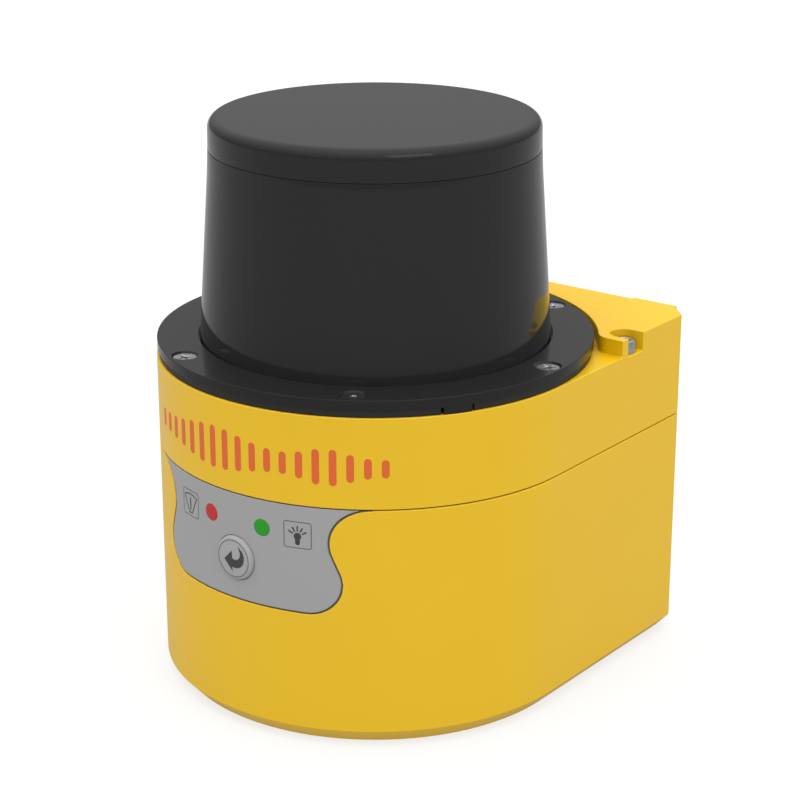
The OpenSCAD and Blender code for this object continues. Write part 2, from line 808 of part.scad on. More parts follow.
// Sealed ball bearing, taken as one solid
module bearing(z) {
    difference() {
        tube(shaft_r, bearing_r, z, bearing_w);
        tube(shaft_r + 1, bearing_r - 1, z - 1, 1.2);
        tube(shaft_r + 1, bearing_r - 1, z + bearing_w - 0.2, 1.2);
    }
}

module lower_bearing() color("silver") bearing(tube_bottom);

module upper_bearing() color("silver") bearing(tube_top - bearing_w);

module rotor_shaft() color("silver")
    disc(shaft_r - shaft_fit, shaft_bottom, carrier_z + 6 - shaft_bottom);

module motor_bell() color("gray") difference() {
    disc(bell_r, bell_z, bell_t + stator_h + 5);
    disc(magnet_r, bell_z + bell_t, far);
    disc(shaft_r - shaft_fit, 0, far);
    around(6, 0, bell_r - 7) disc(2.2, 0, bell_z + bell_t + 1);
}

module rotor_magnets() color("#404040") tube(stator_r + air_gap, magnet_r, stator_z, stator_h);

module encoder_disc() color("lightblue") difference() {
    disc(encoder_r, encoder_z, encoder_t);
    disc(shaft_r - shaft_fit, 0, far);
    around(36, 0, encoder_r - 2.2) translate([-1, -0.4, 0]) cube([2, 0.8, far]);
}

module encoder_sensor() color("#202020") difference() {
    block([-encoder_r - 4, -3, deck_bottom], [-weight_r - turn_gap, 3, encoder_z + encoder_t + 3]);
    block([-encoder_r - turn_gap, -far, encoder_z - turn_gap], [0, far, encoder_z + encoder_t + turn_gap]);
}

// Half space under a 45 degree plane that crosses the axis at a height
module under_slope(z) {
    translate([0, 0, z]) rotate([45, 0, 0]) translate([-far, -far, -2 * far]) cube(2 * far);
}

module mirror_carrier() color("dimgray") difference() {
    intersection() {
        disc(carrier_r, carrier_z, far);
        under_slope(mirror_z - mirror_step);
    }
    disc(shaft_r - shaft_fit, 0, carrier_z + 6);
    difference() {
        disc(carrier_r - 2.5, carrier_z + 9, far);
        linear_extrude(far) square([2 * far, 3], center = true);
    }
}

module scan_mirror() color("lightcyan") difference() {
    intersection() {
        disc(mirror_r, 0, far);
        under_slope(mirror_z);
    }
    under_slope(mirror_z - mirror_step);
}

module balance_weight() color("peru") intersection() {
    tube(carrier_r, weight_r, carrier_z, weight_h);
    translate([-far, -far, 0]) cube([2 * far, far - 8, far]);
}

module optics_head() color("dimgray") difference() {
    translate([0, 0, head_z]) linear_extrude(head_t) intersection() {
        circle(post_r + 0.4);
        union() {
            circle(lens_r + barrel_t + 6);
            translate([-post_w / 2, 0]) square([post_w, far]);
        }
    }
    disc(lens_r + barrel_t, 0, far);
    at_head_screws() disc(m3_r + 0.1, 0, far);
    block([-flex_w / 2 - 1, flex_y, 0], [flex_w / 2 + 1, far, far]);
}

module head_screws() color("silver") at_head_screws() socket_screw(head_z + head_t, 10, 2.4, 2);

module lens_barrel() color("#202020") difference() {
    union() {
        disc(lens_r + barrel_t, head_z, barrel_h);
        disc(lens_r + barrel_t + 2, head_z + head_t, 1.4);
    }
    disc(lens_r, 0, head_z + lens_t);
    disc(lens_r - 1, 0, far);
}

module receiver_lens() color("lightcyan") difference() {
    intersection() {
        disc(lens_r, head_z, lens_t);
        translate([0, 0, head_z + lens_curve_r]) sphere(r = lens_curve_r);
    }
    disc(laser_r + 0.1, 0, far);
}

module laser_module() color("silver") union() {
    disc(laser_r, head_z - 0.8, barrel_h + 0.8);
    disc(laser_r + 1, head_z + lens_t, 1.2);
}

module receiver_board() color("darkgreen") union() {
    disc(lens_r + barrel_t + 3, head_z + barrel_h, 1);
    block([-6, 0, head_z + barrel_h], [6, flex_y, head_z + barrel_h + 1]);
}

module window_monitor() color("darkgreen") difference() {
    union() {
        tube(30, deck_hole_r - 1, deck_bottom, monitor_t);
        for (i = [0:6]) rotate([0, 0, -210 + 40 * i])
            block([32, -2, deck_bottom + 0.5], [35, 2, deck_bottom + monitor_t + 1.5]);
    }
    block([-post_w / 2 - 1, 0, 0], [post_w / 2 + 1, far, far]);
}

module flex_cable() color("orange") union() {
    top = head_z + barrel_h + 1;
    block([-flex_w / 2, flex_y, main_board_z + board_t], [flex_w / 2, flex_y + flex_t, top + flex_t]);
    block([-flex_w / 2, flex_y - 5, top], [flex_w / 2, flex_y + flex_t, top + flex_t]);
}

lower_housing();
upper_housing();
housing_seal();
threaded_inserts();
housing_screws();
window_ring();
window_gasket();
ring_screws();
optics_window();
window_cap();
front_panel();
panel_gasket();
red_light_guide();
green_light_guide();
reset_button();
switch_plunger();
reset_switch();
display_board();
display_screws();
status_leds();
display_cable();
main_board();
power_board();
board_spacers();
board_screws();
board_link();
power_connector();
data_connector();
connector_nuts();
vent_plug();
optics_chassis();
chassis_screws();
motor_stator();
lower_bearing();
upper_bearing();
rotor_shaft();
motor_bell();
rotor_magnets();
encoder_disc();
encoder_sensor();
mirror_carrier();
scan_mirror();
balance_weight();
optics_head();
head_screws();
receiver_lens();
lens_barrel();
laser_module();
receiver_board();
window_monitor();
flex_cable();
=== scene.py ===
# %% [markdown]
# # A compact safety laser scanner
# The CAD model holds every working part of the scanner at its real size. This lesson loads it as a
# fixed frame and gives the parts their visible shapes and finishes: the painted housing, the black
# window with its screwed ring, the grey operator panel and the connectors at the back.

# %% Load the frame
import json
import math

import bmesh
import bpy
from mathutils import Matrix, Vector

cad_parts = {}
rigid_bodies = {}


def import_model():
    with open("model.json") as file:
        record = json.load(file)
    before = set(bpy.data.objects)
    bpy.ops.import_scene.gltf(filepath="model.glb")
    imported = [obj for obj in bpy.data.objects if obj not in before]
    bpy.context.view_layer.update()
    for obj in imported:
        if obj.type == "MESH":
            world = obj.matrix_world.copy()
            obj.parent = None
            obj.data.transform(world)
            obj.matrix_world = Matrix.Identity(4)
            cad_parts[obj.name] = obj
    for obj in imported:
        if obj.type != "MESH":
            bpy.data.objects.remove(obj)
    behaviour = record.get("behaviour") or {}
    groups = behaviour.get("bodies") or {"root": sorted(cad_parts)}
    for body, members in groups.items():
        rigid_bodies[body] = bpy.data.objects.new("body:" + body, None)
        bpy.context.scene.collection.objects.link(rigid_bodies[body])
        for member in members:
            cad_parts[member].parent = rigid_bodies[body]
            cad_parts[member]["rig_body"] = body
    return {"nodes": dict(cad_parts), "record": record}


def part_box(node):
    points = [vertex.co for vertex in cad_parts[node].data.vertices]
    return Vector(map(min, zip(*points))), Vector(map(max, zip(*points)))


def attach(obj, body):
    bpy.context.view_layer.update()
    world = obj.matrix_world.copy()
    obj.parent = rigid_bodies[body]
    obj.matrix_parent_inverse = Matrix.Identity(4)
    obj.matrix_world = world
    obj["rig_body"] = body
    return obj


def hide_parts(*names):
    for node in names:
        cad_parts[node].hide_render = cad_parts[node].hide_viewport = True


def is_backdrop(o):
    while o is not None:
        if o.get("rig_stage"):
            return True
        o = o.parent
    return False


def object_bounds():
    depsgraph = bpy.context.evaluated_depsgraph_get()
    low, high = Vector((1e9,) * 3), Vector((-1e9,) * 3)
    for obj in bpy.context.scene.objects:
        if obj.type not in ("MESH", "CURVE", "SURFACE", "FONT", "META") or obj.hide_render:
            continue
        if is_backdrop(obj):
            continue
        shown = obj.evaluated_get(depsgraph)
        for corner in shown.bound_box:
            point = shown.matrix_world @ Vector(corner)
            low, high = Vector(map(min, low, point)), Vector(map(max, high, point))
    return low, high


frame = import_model()
cad_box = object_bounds()
MM = 0.001
SLOT_OF = {part["node"]: part["material_slot"] for part in frame["record"]["subparts"]}
BODY_OF = {node: piece["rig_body"] for node, piece in frame["nodes"].items()}
print("CAD nodes:", len(frame["nodes"]), "size in mm:", [round(v / MM, 1) for v in cad_box[1] - cad_box[0]])

# %% [markdown]
# ## Sizes
# Nothing is measured twice: every place below comes from the CAD nodes' own boxes, in millimetres.
# A few sizes that a box can't tell, such as the radius of an edge, are named where they are used.


# %% Sizes from the frame
def span(node):
    """Lowest and highest corner of a CAD node, in millimetres."""
    low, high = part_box(node)
    return low / MM, high / MM


def solids(node):
    """The box of each separate solid in a CAD node, in millimetres, sorted by place."""
    bm = bmesh.new()
    bm.from_mesh(frame["nodes"][node].data)
    bmesh.ops.remove_doubles(bm, verts=bm.verts, dist=0.002 * MM)
    left, found = set(bm.verts), []
    while left:
        edge_of_search, group = [left.pop()], []
        while edge_of_search:
            vert = edge_of_search.pop()
            group.append(vert.co / MM)
            for edge in vert.link_edges:
                other = edge.other_vert(vert)
                if other in left:
                    left.remove(other)
                    edge_of_search.append(other)
        low = Vector([min(p[i] for p in group) for i in range(3)])
        high = Vector([max(p[i] for p in group) for i in range(3)])
        found.append((low, high))
    bm.free()
    return sorted(found, key=lambda b: (round(b[0].x), round(b[0].y), round(b[0].z)))


FRONT_R = span("upper_housing")[1].x
BACK_Y = span("upper_housing")[1].y
BUTTON_LOW, BUTTON_HIGH = span("reset_button")
BUTTON_Z = (BUTTON_LOW.z + BUTTON_HIGH.z) / 2
print("front radius", round(FRONT_R, 2), "back", round(BACK_Y, 2), "button height", round(BUTTON_Z, 2))

# %% [markdown]
# ## Camera and studio
# A product like this is shown from a little above its front corner with a long lens, so that its
# upright edges stay nearly parallel. The light is a big soft sky, brighter overhead than at the
# horizon, over a white table that glows a little from below. That gives the satin paint its calm,
# even tone. Sky and table are both dimmer to a reflected ray, as screens round a table make them, so
# that black gloss keeps its depth. One gentle softbox adds a highlight.

# %% Camera
VIEW_TURN = math.radians(37.233)
VIEW_RISE = math.radians(19.352)
VIEW_DISTANCE = 517.26 * MM
VIEW_HEIGHT = 64.478 * MM
VIEW_SHIFT = 5.652 * MM
LENS_MM = 98.53
sideways = Vector((math.cos(VIEW_TURN), math.sin(VIEW_TURN), 0))
backwards = Vector((
    math.sin(VIEW_TURN) * math.cos(VIEW_RISE),
    -math.cos(VIEW_TURN) * math.cos(VIEW_RISE),
    math.sin(VIEW_RISE),
))
camera_data = bpy.data.cameras.new("studio_camera")
camera_data.lens = LENS_MM
camera_data.sensor_width = 36
camera_data.clip_start = 0.01
camera = bpy.data.objects.new("studio_camera", camera_data)
camera.location = sideways * VIEW_SHIFT + Vector((0, 0, VIEW_HEIGHT)) + backwards * VIEW_DISTANCE
camera.rotation_mode = "QUATERNION"
camera.rotation_quaternion = (-backwards).to_track_quat("-Z", "Y")
bpy.context.scene.collection.objects.link(camera)
bpy.context.scene.camera = camera
bpy.context.scene.view_settings.view_transform = "Standard"
print("camera at", [round(v, 3) for v in camera.location])


# %% Node helpers
def add_node(tree, kind, settings=None, **inputs):
    """Adds a node, sets its properties, and sets or links its inputs by name."""
    node = tree.nodes.new(kind)
    for key, value in (settings or {}).items():
        setattr(node, key, value)
    for key, value in inputs.items():
        socket = node.inputs[int(key[1:])] if key[0] == "_" else node.inputs[key.replace("_", " ")]
        if isinstance(value, bpy.types.NodeSocket):
            tree.links.new(value, socket)
        else:
            socket.default_value = value
    return node


def arithmetic(tree, operation, first, second, clamp=False):
    """One step of arithmetic on two values or sockets."""
    return add_node(tree, "ShaderNodeMath", {"operation": operation, "use_clamp": clamp},
                    _0=first, _1=second).outputs[0]


def mix_values(tree, share, first, second):
    """The first value where share is 0, the second where it is 1."""
    return add_node(tree, "ShaderNodeMix", {"data_type": "FLOAT"}, _0=share, _2=first, _3=second).outputs[0]


def mix_colours(tree, share, first, second):
    """The first colour where share is 0, the second where it is 1."""
    return add_node(tree, "ShaderNodeMix", {"data_type": "RGBA"}, _0=share, _6=first, _7=second).outputs[2]


# %% Sky and floor
HORIZON_LIGHT = 0.36
ZENITH_LIGHT = 2.6
SKY_CURVE = 1.5
SKY_IN_GLOSS = 0.62
world = bpy.data.worlds.new("studio_sky")
bpy.context.scene.world = world
world.use_nodes = True
sky = world.node_tree
sky.nodes.clear()
direction = add_node(sky, "ShaderNodeTexCoord").outputs["Generated"]
height = add_node(sky, "ShaderNodeSeparateXYZ", Vector=direction).outputs["Z"]
climb = arithmetic(sky, "POWER", arithmetic(sky, "MAXIMUM", height, 0.0), SKY_CURVE)
glow = add_node(sky, "ShaderNodeMapRange", Value=climb, From_Min=0.0, From_Max=1.0,
                To_Min=HORIZON_LIGHT, To_Max=ZENITH_LIGHT).outputs[0]
ray = add_node(sky, "ShaderNodeLightPath").outputs
share = mix_values(sky, ray["Is Glossy Ray"], 1.0, SKY_IN_GLOSS)
strength = mix_values(sky, ray["Is Camera Ray"], arithmetic(sky, "MULTIPLY", glow, share), 1.0)
background = add_node(sky, "ShaderNodeBackground", Color=(1, 1, 1, 1), Strength=strength)
add_node(sky, "ShaderNodeOutputWorld", Surface=background.outputs[0])

TABLE_TONE = 0.22
TABLE_LIGHT, TABLE_SEEN, TABLE_IN_GLOSS = 0.43, 0.72, 0.20
TABLE_HALF_M = 6
TABLE_GAP = 0.02 * MM
floor_material = bpy.data.materials.new("white_floor")
floor_material.use_nodes = True
floor_tree = floor_material.node_tree
floor_shader = floor_tree.nodes["Principled BSDF"]
floor_shader.inputs["Base Color"].default_value = (TABLE_TONE, TABLE_TONE, TABLE_TONE, 1)
floor_shader.inputs["Roughness"].default_value = 0.9
floor_shader.inputs["Specular IOR Level"].default_value = 0.0
floor_shader.inputs["Emission Color"].default_value = (1, 1, 1, 1)
ray = add_node(floor_tree, "ShaderNodeLightPath").outputs
dimmed = mix_values(floor_tree, ray["Is Glossy Ray"], TABLE_LIGHT, TABLE_IN_GLOSS)
table_glow = mix_values(floor_tree, ray["Is Camera Ray"], dimmed, TABLE_SEEN)
floor_tree.links.new(table_glow, floor_shader.inputs["Emission Strength"])
floor_bm = bmesh.new()
bmesh.ops.create_grid(floor_bm, x_segments=1, y_segments=1, size=TABLE_HALF_M)
floor_mesh = bpy.data.meshes.new("studio_floor")
floor_bm.to_mesh(floor_mesh)
floor_bm.free()
floor_mesh.transform(Matrix.Translation((0, 0, -TABLE_GAP)))
floor_mesh.materials.append(floor_material)
floor = bpy.data.objects.new("studio_floor", floor_mesh)
bpy.context.scene.collection.objects.link(floor)
floor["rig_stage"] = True

softbox_data = bpy.data.lights.new("softbox", "AREA")
softbox_data.shape = "RECTANGLE"
softbox_data.size = 0.5
softbox_data.size_y = 0.35
softbox_data.energy = 1.0
softbox = bpy.data.objects.new("softbox", softbox_data)
softbox.location = (0.75, -0.35, 0.8)
softbox.rotation_mode = "QUATERNION"
softbox.rotation_quaternion = softbox.location.to_track_quat("Z", "Y")
bpy.context.scene.collection.objects.link(softbox)
print("sky, floor and softbox are in place")

# %% [markdown]
# ## Surface effects that many finishes share
# Paint, moulded plastic and machined metal differ in three small things: how the tone drifts over
# the part, how the gloss drifts, and the fine relief that you feel with a fingernail. One node
# group makes all three from noise on the object's own coordinates, and each material sets how much
# of each it takes. The shader itself stays in the material, so that gloss can be exported.


# %% Node groups
SLOW_DRIFT_SCALE = 45.0
QUICK_DRIFT_SCALE = 260.0


def start_group(name, inputs, outputs):
    """A node group with named inputs and outputs, and its two end nodes."""
    tree = bpy.data.node_groups.new(name, "ShaderNodeTree")
    for label, kind, value in inputs:
        tree.interface.new_socket(name=label, in_out="INPUT", socket_type=kind).default_value = value
    for label, kind in outputs:
        tree.interface.new_socket(name=label, in_out="OUTPUT", socket_type=kind)
    return tree, tree.nodes.new("NodeGroupInput").outputs, tree.nodes.new("NodeGroupOutput").inputs


def centred_noise(tree, place, scale, detail=2.0):
    """Noise from -0.5 to 0.5."""
    noise = add_node(tree, "ShaderNodeTexNoise", Vector=place, Scale=scale, Detail=detail)
    return arithmetic(tree, "SUBTRACT", noise.outputs["Fac"], 0.5)


def make_skin_group():
    """Slow drift of tone and gloss, and fine relief."""
    tree, given, result = start_group(
        "surface_skin",
        [("Color", "NodeSocketColor", (0.5, 0.5, 0.5, 1)), ("Tone Drift", "NodeSocketFloat", 0.05),
         ("Roughness", "NodeSocketFloat", 0.4), ("Gloss Drift", "NodeSocketFloat", 0.05),
         ("Grain Scale", "NodeSocketFloat", 2500.0)],
        [("Color", "NodeSocketColor"), ("Roughness", "NodeSocketFloat"), ("Height", "NodeSocketFloat")],
    )
    place = add_node(tree, "ShaderNodeTexCoord").outputs["Object"]
    slow = centred_noise(tree, place, SLOW_DRIFT_SCALE)
    tone = arithmetic(tree, "ADD", arithmetic(tree, "MULTIPLY", slow, given["Tone Drift"]), 1.0)
    shade = add_node(tree, "ShaderNodeVectorMath", {"operation": "SCALE"}, _0=given["Color"], Scale=tone)
    quick = centred_noise(tree, place, QUICK_DRIFT_SCALE)
    gloss = arithmetic(tree, "MULTIPLY", quick, given["Gloss Drift"])
    tree.links.new(shade.outputs[0], result["Color"])
    tree.links.new(arithmetic(tree, "ADD", gloss, given["Roughness"], clamp=True), result["Roughness"])
    tree.links.new(centred_noise(tree, place, given["Grain Scale"], 3.0), result["Height"])
    return tree


def make_highlight_group():
    """A mask that is 1 along sharp outer edges, where a painted highlight lifts the colour."""
    tree, given, result = start_group(
        "painted_edge_highlight", [("Radius", "NodeSocketFloat", 0.0005), ("Amount", "NodeSocketFloat", 0.5)],
        [("Mask", "NodeSocketFloat")],
    )
    rounded_normal = add_node(tree, "ShaderNodeBevel", {"samples": 4}, Radius=given["Radius"])
    true_normal = add_node(tree, "ShaderNodeNewGeometry")
    match = add_node(tree, "ShaderNodeVectorMath", {"operation": "DOT_PRODUCT"},
                     _0=rounded_normal.outputs[0], _1=true_normal.outputs["Normal"])
    turned = arithmetic(tree, "SUBTRACT", 1.0, match.outputs["Value"])
    tree.links.new(arithmetic(tree, "MULTIPLY", turned, given["Amount"], clamp=True), result["Mask"])
    return tree


def make_brushed_group():
    """Fine lines left by a tool, running along one axis."""
    tree, given, result = start_group(
        "tool_lines", [("Stretch", "NodeSocketVector", (1, 1, 1)), ("Scale", "NodeSocketFloat", 900.0)],
        [("Height", "NodeSocketFloat")],
    )
    place = add_node(tree, "ShaderNodeTexCoord").outputs["Object"]
    drawn_out = add_node(tree, "ShaderNodeVectorMath", {"operation": "MULTIPLY"},
                         _0=place, _1=given["Stretch"])
    tree.links.new(centred_noise(tree, drawn_out.outputs[0], given["Scale"], 4.0), result["Height"])
    return tree


SKIN = make_skin_group()
HIGHLIGHT_GROUP = make_highlight_group()
LINES = make_brushed_group()
print("node groups:", [g.name for g in bpy.data.node_groups])

# %% [markdown]
# ## Finishes
# Each finish is a short call: a colour, a gloss, how much both drift, and the size and depth of the
# relief. What is special about a finish, such as a painted highlight on the paint's edges, is added after it.


# %% Base finish
def place_group(tree, group, **inputs):
    """Puts a node group into a material's tree and sets its inputs."""
    return add_node(tree, "ShaderNodeGroup", {"node_tree": group}, **inputs)


def finish(name, colour, roughness, tone=0.06, gloss=0.06, grain_mm=0.4, depth_mm=0.004, **sockets):
    """A Principled material whose colour, roughness and relief vary over the surface."""
    material = bpy.data.materials.new(name)
    material.use_nodes = True
    tree = material.node_tree
    shader = tree.nodes["Principled BSDF"]
    for key, value in sockets.items():
        shader.inputs[key.replace("_", " ")].default_value = value
    skin = place_group(tree, SKIN, Color=(*colour, 1), Tone_Drift=tone, Roughness=roughness,
                       Gloss_Drift=gloss, Grain_Scale=1 / (grain_mm * MM))
    skin.name = "skin"
    relief = add_node(tree, "ShaderNodeBump", Height=skin.outputs["Height"], Distance=depth_mm * MM,
                      Strength=1.0)
    relief.name = "relief"
    tree.links.new(skin.outputs["Color"], shader.inputs["Base Color"])
    tree.links.new(skin.outputs["Roughness"], shader.inputs["Roughness"])
    tree.links.new(relief.outputs[0], shader.inputs["Normal"])
    return material


# %% [markdown]
# ### Yellow powder coat
# The die-cast shells are powder coated. Powder melts into a satin skin with a faint orange peel.
# The peel is relief about 0.7 mm across and a few thousandths deep. Along the edges a mask lifts the
# colour to a lighter yellow: a painted highlight in place of the glint that the edges catch.

# %% Yellow coat
YELLOW = (0.80, 0.490, 0.003)
# colour of the painted highlight along the edges
PAINTED_EDGE_YELLOW = (0.95, 0.60, 0.012, 1)
yellow_coat = finish("yellow_powder_coat", YELLOW, 0.34, tone=0.05, gloss=0.05, grain_mm=0.7,
                     depth_mm=0.006, IOR=1.5)
coat_tree = yellow_coat.node_tree
# painted highlight: edges take a lighter yellow, standing in for the glint they catch
highlight_mask = place_group(coat_tree, HIGHLIGHT_GROUP, Radius=0.4 * MM, Amount=2.2)
highlighted = mix_colours(coat_tree, highlight_mask.outputs["Mask"], coat_tree.nodes["skin"].outputs["Color"], PAINTED_EDGE_YELLOW)
coat_tree.links.new(highlighted, coat_tree.nodes["Principled BSDF"].inputs["Base Color"])
print("made", yellow_coat.name)

# %% [markdown]
# ### Black window, ring and rubber
# The window is moulded in a plastic that only lets infrared through, so it looks like polished
# black glass. The ring that clamps it is anodised metal, nearly as glossy. Rubber is dull, and the
# seals that show as a thin line between two pieces are a greyer rubber.

# %% Black finishes
window_black = finish("infrared_window", (0.019, 0.019, 0.0195), 0.09, tone=0.1, gloss=0.012,
                      grain_mm=6, depth_mm=0.002, Specular_IOR_Level=0.22)
ring_black = finish("black_anodised_ring", (0.017, 0.017, 0.0175), 0.12, tone=0.1, gloss=0.02,
                    grain_mm=0.35, depth_mm=0.0006, Specular_IOR_Level=0.17)
black_rubber = finish("black_rubber", (0.010, 0.010, 0.011), 0.55, tone=0.15, grain_mm=0.3, depth_mm=0.008)
seal_rubber = finish("grey_seal_rubber", (0.075, 0.070, 0.066), 0.6, tone=0.15, grain_mm=0.3, depth_mm=0.008)
black_plastic = finish("black_moulded_plastic", (0.020, 0.020, 0.021), 0.42, tone=0.12, grain_mm=0.35,
                       depth_mm=0.01)
print("made", [m.name for m in (window_black, ring_black, black_rubber, seal_rubber, black_plastic)])

# %% [markdown]
# ### Operator panel, button, lights and print
# The panel is a matt printed film and the button is the same film formed over a cap. The lights are
# clear gloss lenses with colour in them. The print is a thin layer of ink that sits on the film.

# %% Panel finishes
panel_grey = finish("grey_panel_film", (0.337, 0.337, 0.339), 0.46, tone=0.03, gloss=0.05, grain_mm=0.16,
                    depth_mm=0.0025)
button_grey = finish("grey_button_film", (0.35, 0.35, 0.352), 0.40, tone=0.03, gloss=0.05, grain_mm=0.16,
                     depth_mm=0.002)
red_lens = finish("red_light_lens", (0.50, 0.026, 0.031), 0.16, tone=0.06, grain_mm=0.5, depth_mm=0.001,
                  Specular_IOR_Level=0.25)
green_lens = finish("green_light_lens", (0.018, 0.30, 0.018), 0.16, tone=0.06, grain_mm=0.5, depth_mm=0.001,
                    Specular_IOR_Level=0.25)
dark_ink = finish("dark_print", (0.045, 0.040, 0.040), 0.5, tone=0.1, grain_mm=0.2, depth_mm=0.001)
line_ink = finish("grey_print", (0.11, 0.11, 0.115), 0.5, tone=0.1, grain_mm=0.2, depth_mm=0.001)
orange_ink = finish("orange_print", (0.71, 0.118, 0.016), 0.45, tone=0.05, grain_mm=0.5, depth_mm=0.002)
panel_finishes = (panel_grey, button_grey, red_lens, green_lens, dark_ink, line_ink, orange_ink)
print("made", [m.name for m in panel_finishes])

# %% [markdown]
# ### Metals
# Screws are zinc plated and inserts are plain steel: bright, slightly uneven, with fine marks from
# the forming tool. Nickel on the connectors is smoother and warmer. Turned and milled aluminium
# shows long fine lines, which come from noise that is stretched along one axis.


# %% Metals
def lined(material, stretch, scale, depth_mm):
    """Swaps a finish's relief for fine tool lines."""
    tree = material.node_tree
    lines = place_group(tree, LINES, Stretch=stretch, Scale=scale)
    tree.links.new(lines.outputs["Height"], tree.nodes["relief"].inputs["Height"])
    tree.nodes["relief"].inputs["Distance"].default_value = depth_mm * MM
    return material


steel = finish("zinc_plated_steel", (0.47, 0.48, 0.50), 0.27, tone=0.12, gloss=0.12, grain_mm=0.12,
               depth_mm=0.0012, Metallic=1.0)
nickel = finish("nickel_plate", (0.62, 0.59, 0.54), 0.20, tone=0.10, gloss=0.10, grain_mm=0.2,
                depth_mm=0.001, Metallic=1.0)
bare_aluminium = lined(finish("milled_aluminium", (0.66, 0.67, 0.69), 0.34, tone=0.08, Metallic=1.0),
                       (1, 0.03, 1), 2200.0, 0.004)
copper = lined(finish("enamelled_copper", (0.62, 0.24, 0.09), 0.30, tone=0.2, Metallic=1.0),
               (1, 1, 0.1), 3000.0, 0.03)
magnet = finish("sintered_magnet", (0.11, 0.11, 0.115), 0.45, tone=0.2, grain_mm=0.25, depth_mm=0.01,
                Metallic=1.0)
gold = finish("gold_contact", (0.83, 0.55, 0.20), 0.20, tone=0.06, grain_mm=0.1, depth_mm=0.0008,
              Metallic=1.0)
mirror_coat = finish("silvered_mirror", (0.90, 0.92, 0.93), 0.03, tone=0.02, gloss=0.01, grain_mm=4,
                     depth_mm=0.0002, Metallic=1.0)
print("made", [m.name for m in (steel, nickel, bare_aluminium, copper, magnet, gold, mirror_coat)])

# %% [markdown]
# ### Boards, glass and film inside
# The inside is closed off, but its parts have finishes too, so that an opened model reads well. A
# circuit board is green solder mask over copper tracks: a brick pattern gives straight runs of
# track that stand a little proud and show lighter.

# %% Inner finishes
TRACK_GREEN = (0.04, 0.19, 0.07, 1)
TRACK_THICK = 0.03 * MM
white_plastic = finish("white_plastic", (0.70, 0.70, 0.67), 0.4, tone=0.05, grain_mm=0.4, depth_mm=0.004)
flex_amber = finish("amber_flex_film", (0.45, 0.17, 0.02), 0.3, tone=0.1, grain_mm=0.6, depth_mm=0.003)
clear_glass = finish("clear_optical_glass", (0.93, 0.96, 0.97), 0.03, tone=0.02, gloss=0.01, grain_mm=5,
                     depth_mm=0.0002, Transmission_Weight=1.0, IOR=1.5)
circuit_board = finish("green_solder_mask", (0.012, 0.085, 0.035), 0.3, tone=0.15, grain_mm=0.5,
                       depth_mm=0.004, Coat_Weight=0.3)
board_tree = circuit_board.node_tree
board_place = add_node(board_tree, "ShaderNodeTexCoord").outputs["Object"]
tracks = add_node(board_tree, "ShaderNodeTexBrick", Vector=board_place, Color1=(1, 1, 1, 1),
                  Color2=(1, 1, 1, 1), Mortar=(0, 0, 0, 1), Scale=260.0, Mortar_Size=0.04,
                  Brick_Width=0.9, Row_Height=0.22).outputs["Fac"]
tracked = mix_colours(board_tree, tracks, board_tree.nodes["skin"].outputs["Color"], TRACK_GREEN)
board_tree.links.new(tracked, board_tree.nodes["Principled BSDF"].inputs["Base Color"])
board_tree.links.new(tracks, board_tree.nodes["relief"].inputs["Height"])
board_tree.nodes["relief"].inputs["Distance"].default_value = TRACK_THICK

FINISH_OF = {
    "yellow_coat": yellow_coat, "ring_black": ring_black, "window_black": window_black,
    "black_rubber": black_rubber, "panel_grey": panel_grey, "button_grey": button_grey,
    "red_lens": red_lens, "green_lens": green_lens, "steel": steel, "nickel": nickel,
    "circuit_board": circuit_board, "black_plastic": black_plastic, "white_plastic": white_plastic,
    "bare_aluminium": bare_aluminium, "copper": copper, "magnet": magnet,
    "mirror_coat": mirror_coat, "clear_glass": clear_glass, "flex_amber": flex_amber,
}
SEALS_IN_A_GAP = ("panel_gasket", "housing_seal")
for node, cad_piece in frame["nodes"].items():
    cad_piece.data.materials.clear()
    cad_piece.data.materials.append(seal_rubber if node in SEALS_IN_A_GAP else FINISH_OF[SLOT_OF[node]])
print("finishes given to", len(frame["nodes"]), "CAD nodes")

# %% [markdown]
# ## From a sketch to a piece
# Every piece is drawn in a bmesh in millimetres. One function closes it, points its faces outwards,
# brings it to metres, smooths what is round, and hangs it on the body of the CAD node that it
# stands for. Its object stays at the origin, and its place is in its mesh.


# %% Piece helpers
SHARP_DEGREES = 32
BEVEL_DEGREES = 30
FLAT_FACE_WEIGHT = 60


def finish_piece(bm, name, node, material=None, replaced=True, recalc=True):
    """Turns a bmesh in millimetres into a piece that goes with a CAD node."""
    bmesh.ops.remove_doubles(bm, verts=bm.verts, dist=0.001)
    if recalc:
        bmesh.ops.recalc_face_normals(bm, faces=bm.faces)
    bmesh.ops.scale(bm, vec=(MM, MM, MM), verts=bm.verts)
    mesh = bpy.data.meshes.new(name)
    bm.to_mesh(mesh)
    bm.free()
    mesh.shade_smooth()
    mesh.set_sharp_from_angle(angle=math.radians(SHARP_DEGREES))
    mesh.materials.append(material or FINISH_OF[SLOT_OF[node]])
    piece = bpy.data.objects.new(name, mesh)
    bpy.context.scene.collection.objects.link(piece)
    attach(piece, BODY_OF[node])
    if replaced:
        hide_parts(node)
    print(name, len(mesh.polygons), "faces")
    return piece


def edge_loop(verts):
    """The edges that join a set of vertices."""
    inside = set(verts)
    return list({e for v in verts for e in v.link_edges if e.other_vert(v) in inside})


def circle_at(bm, radius, height, sides):
    """A ring of vertices round the Z axis."""
    made = bmesh.ops.create_circle(bm, segments=sides, radius=radius,
                                   matrix=Matrix.Translation((0, 0, height)))
    return made["verts"]


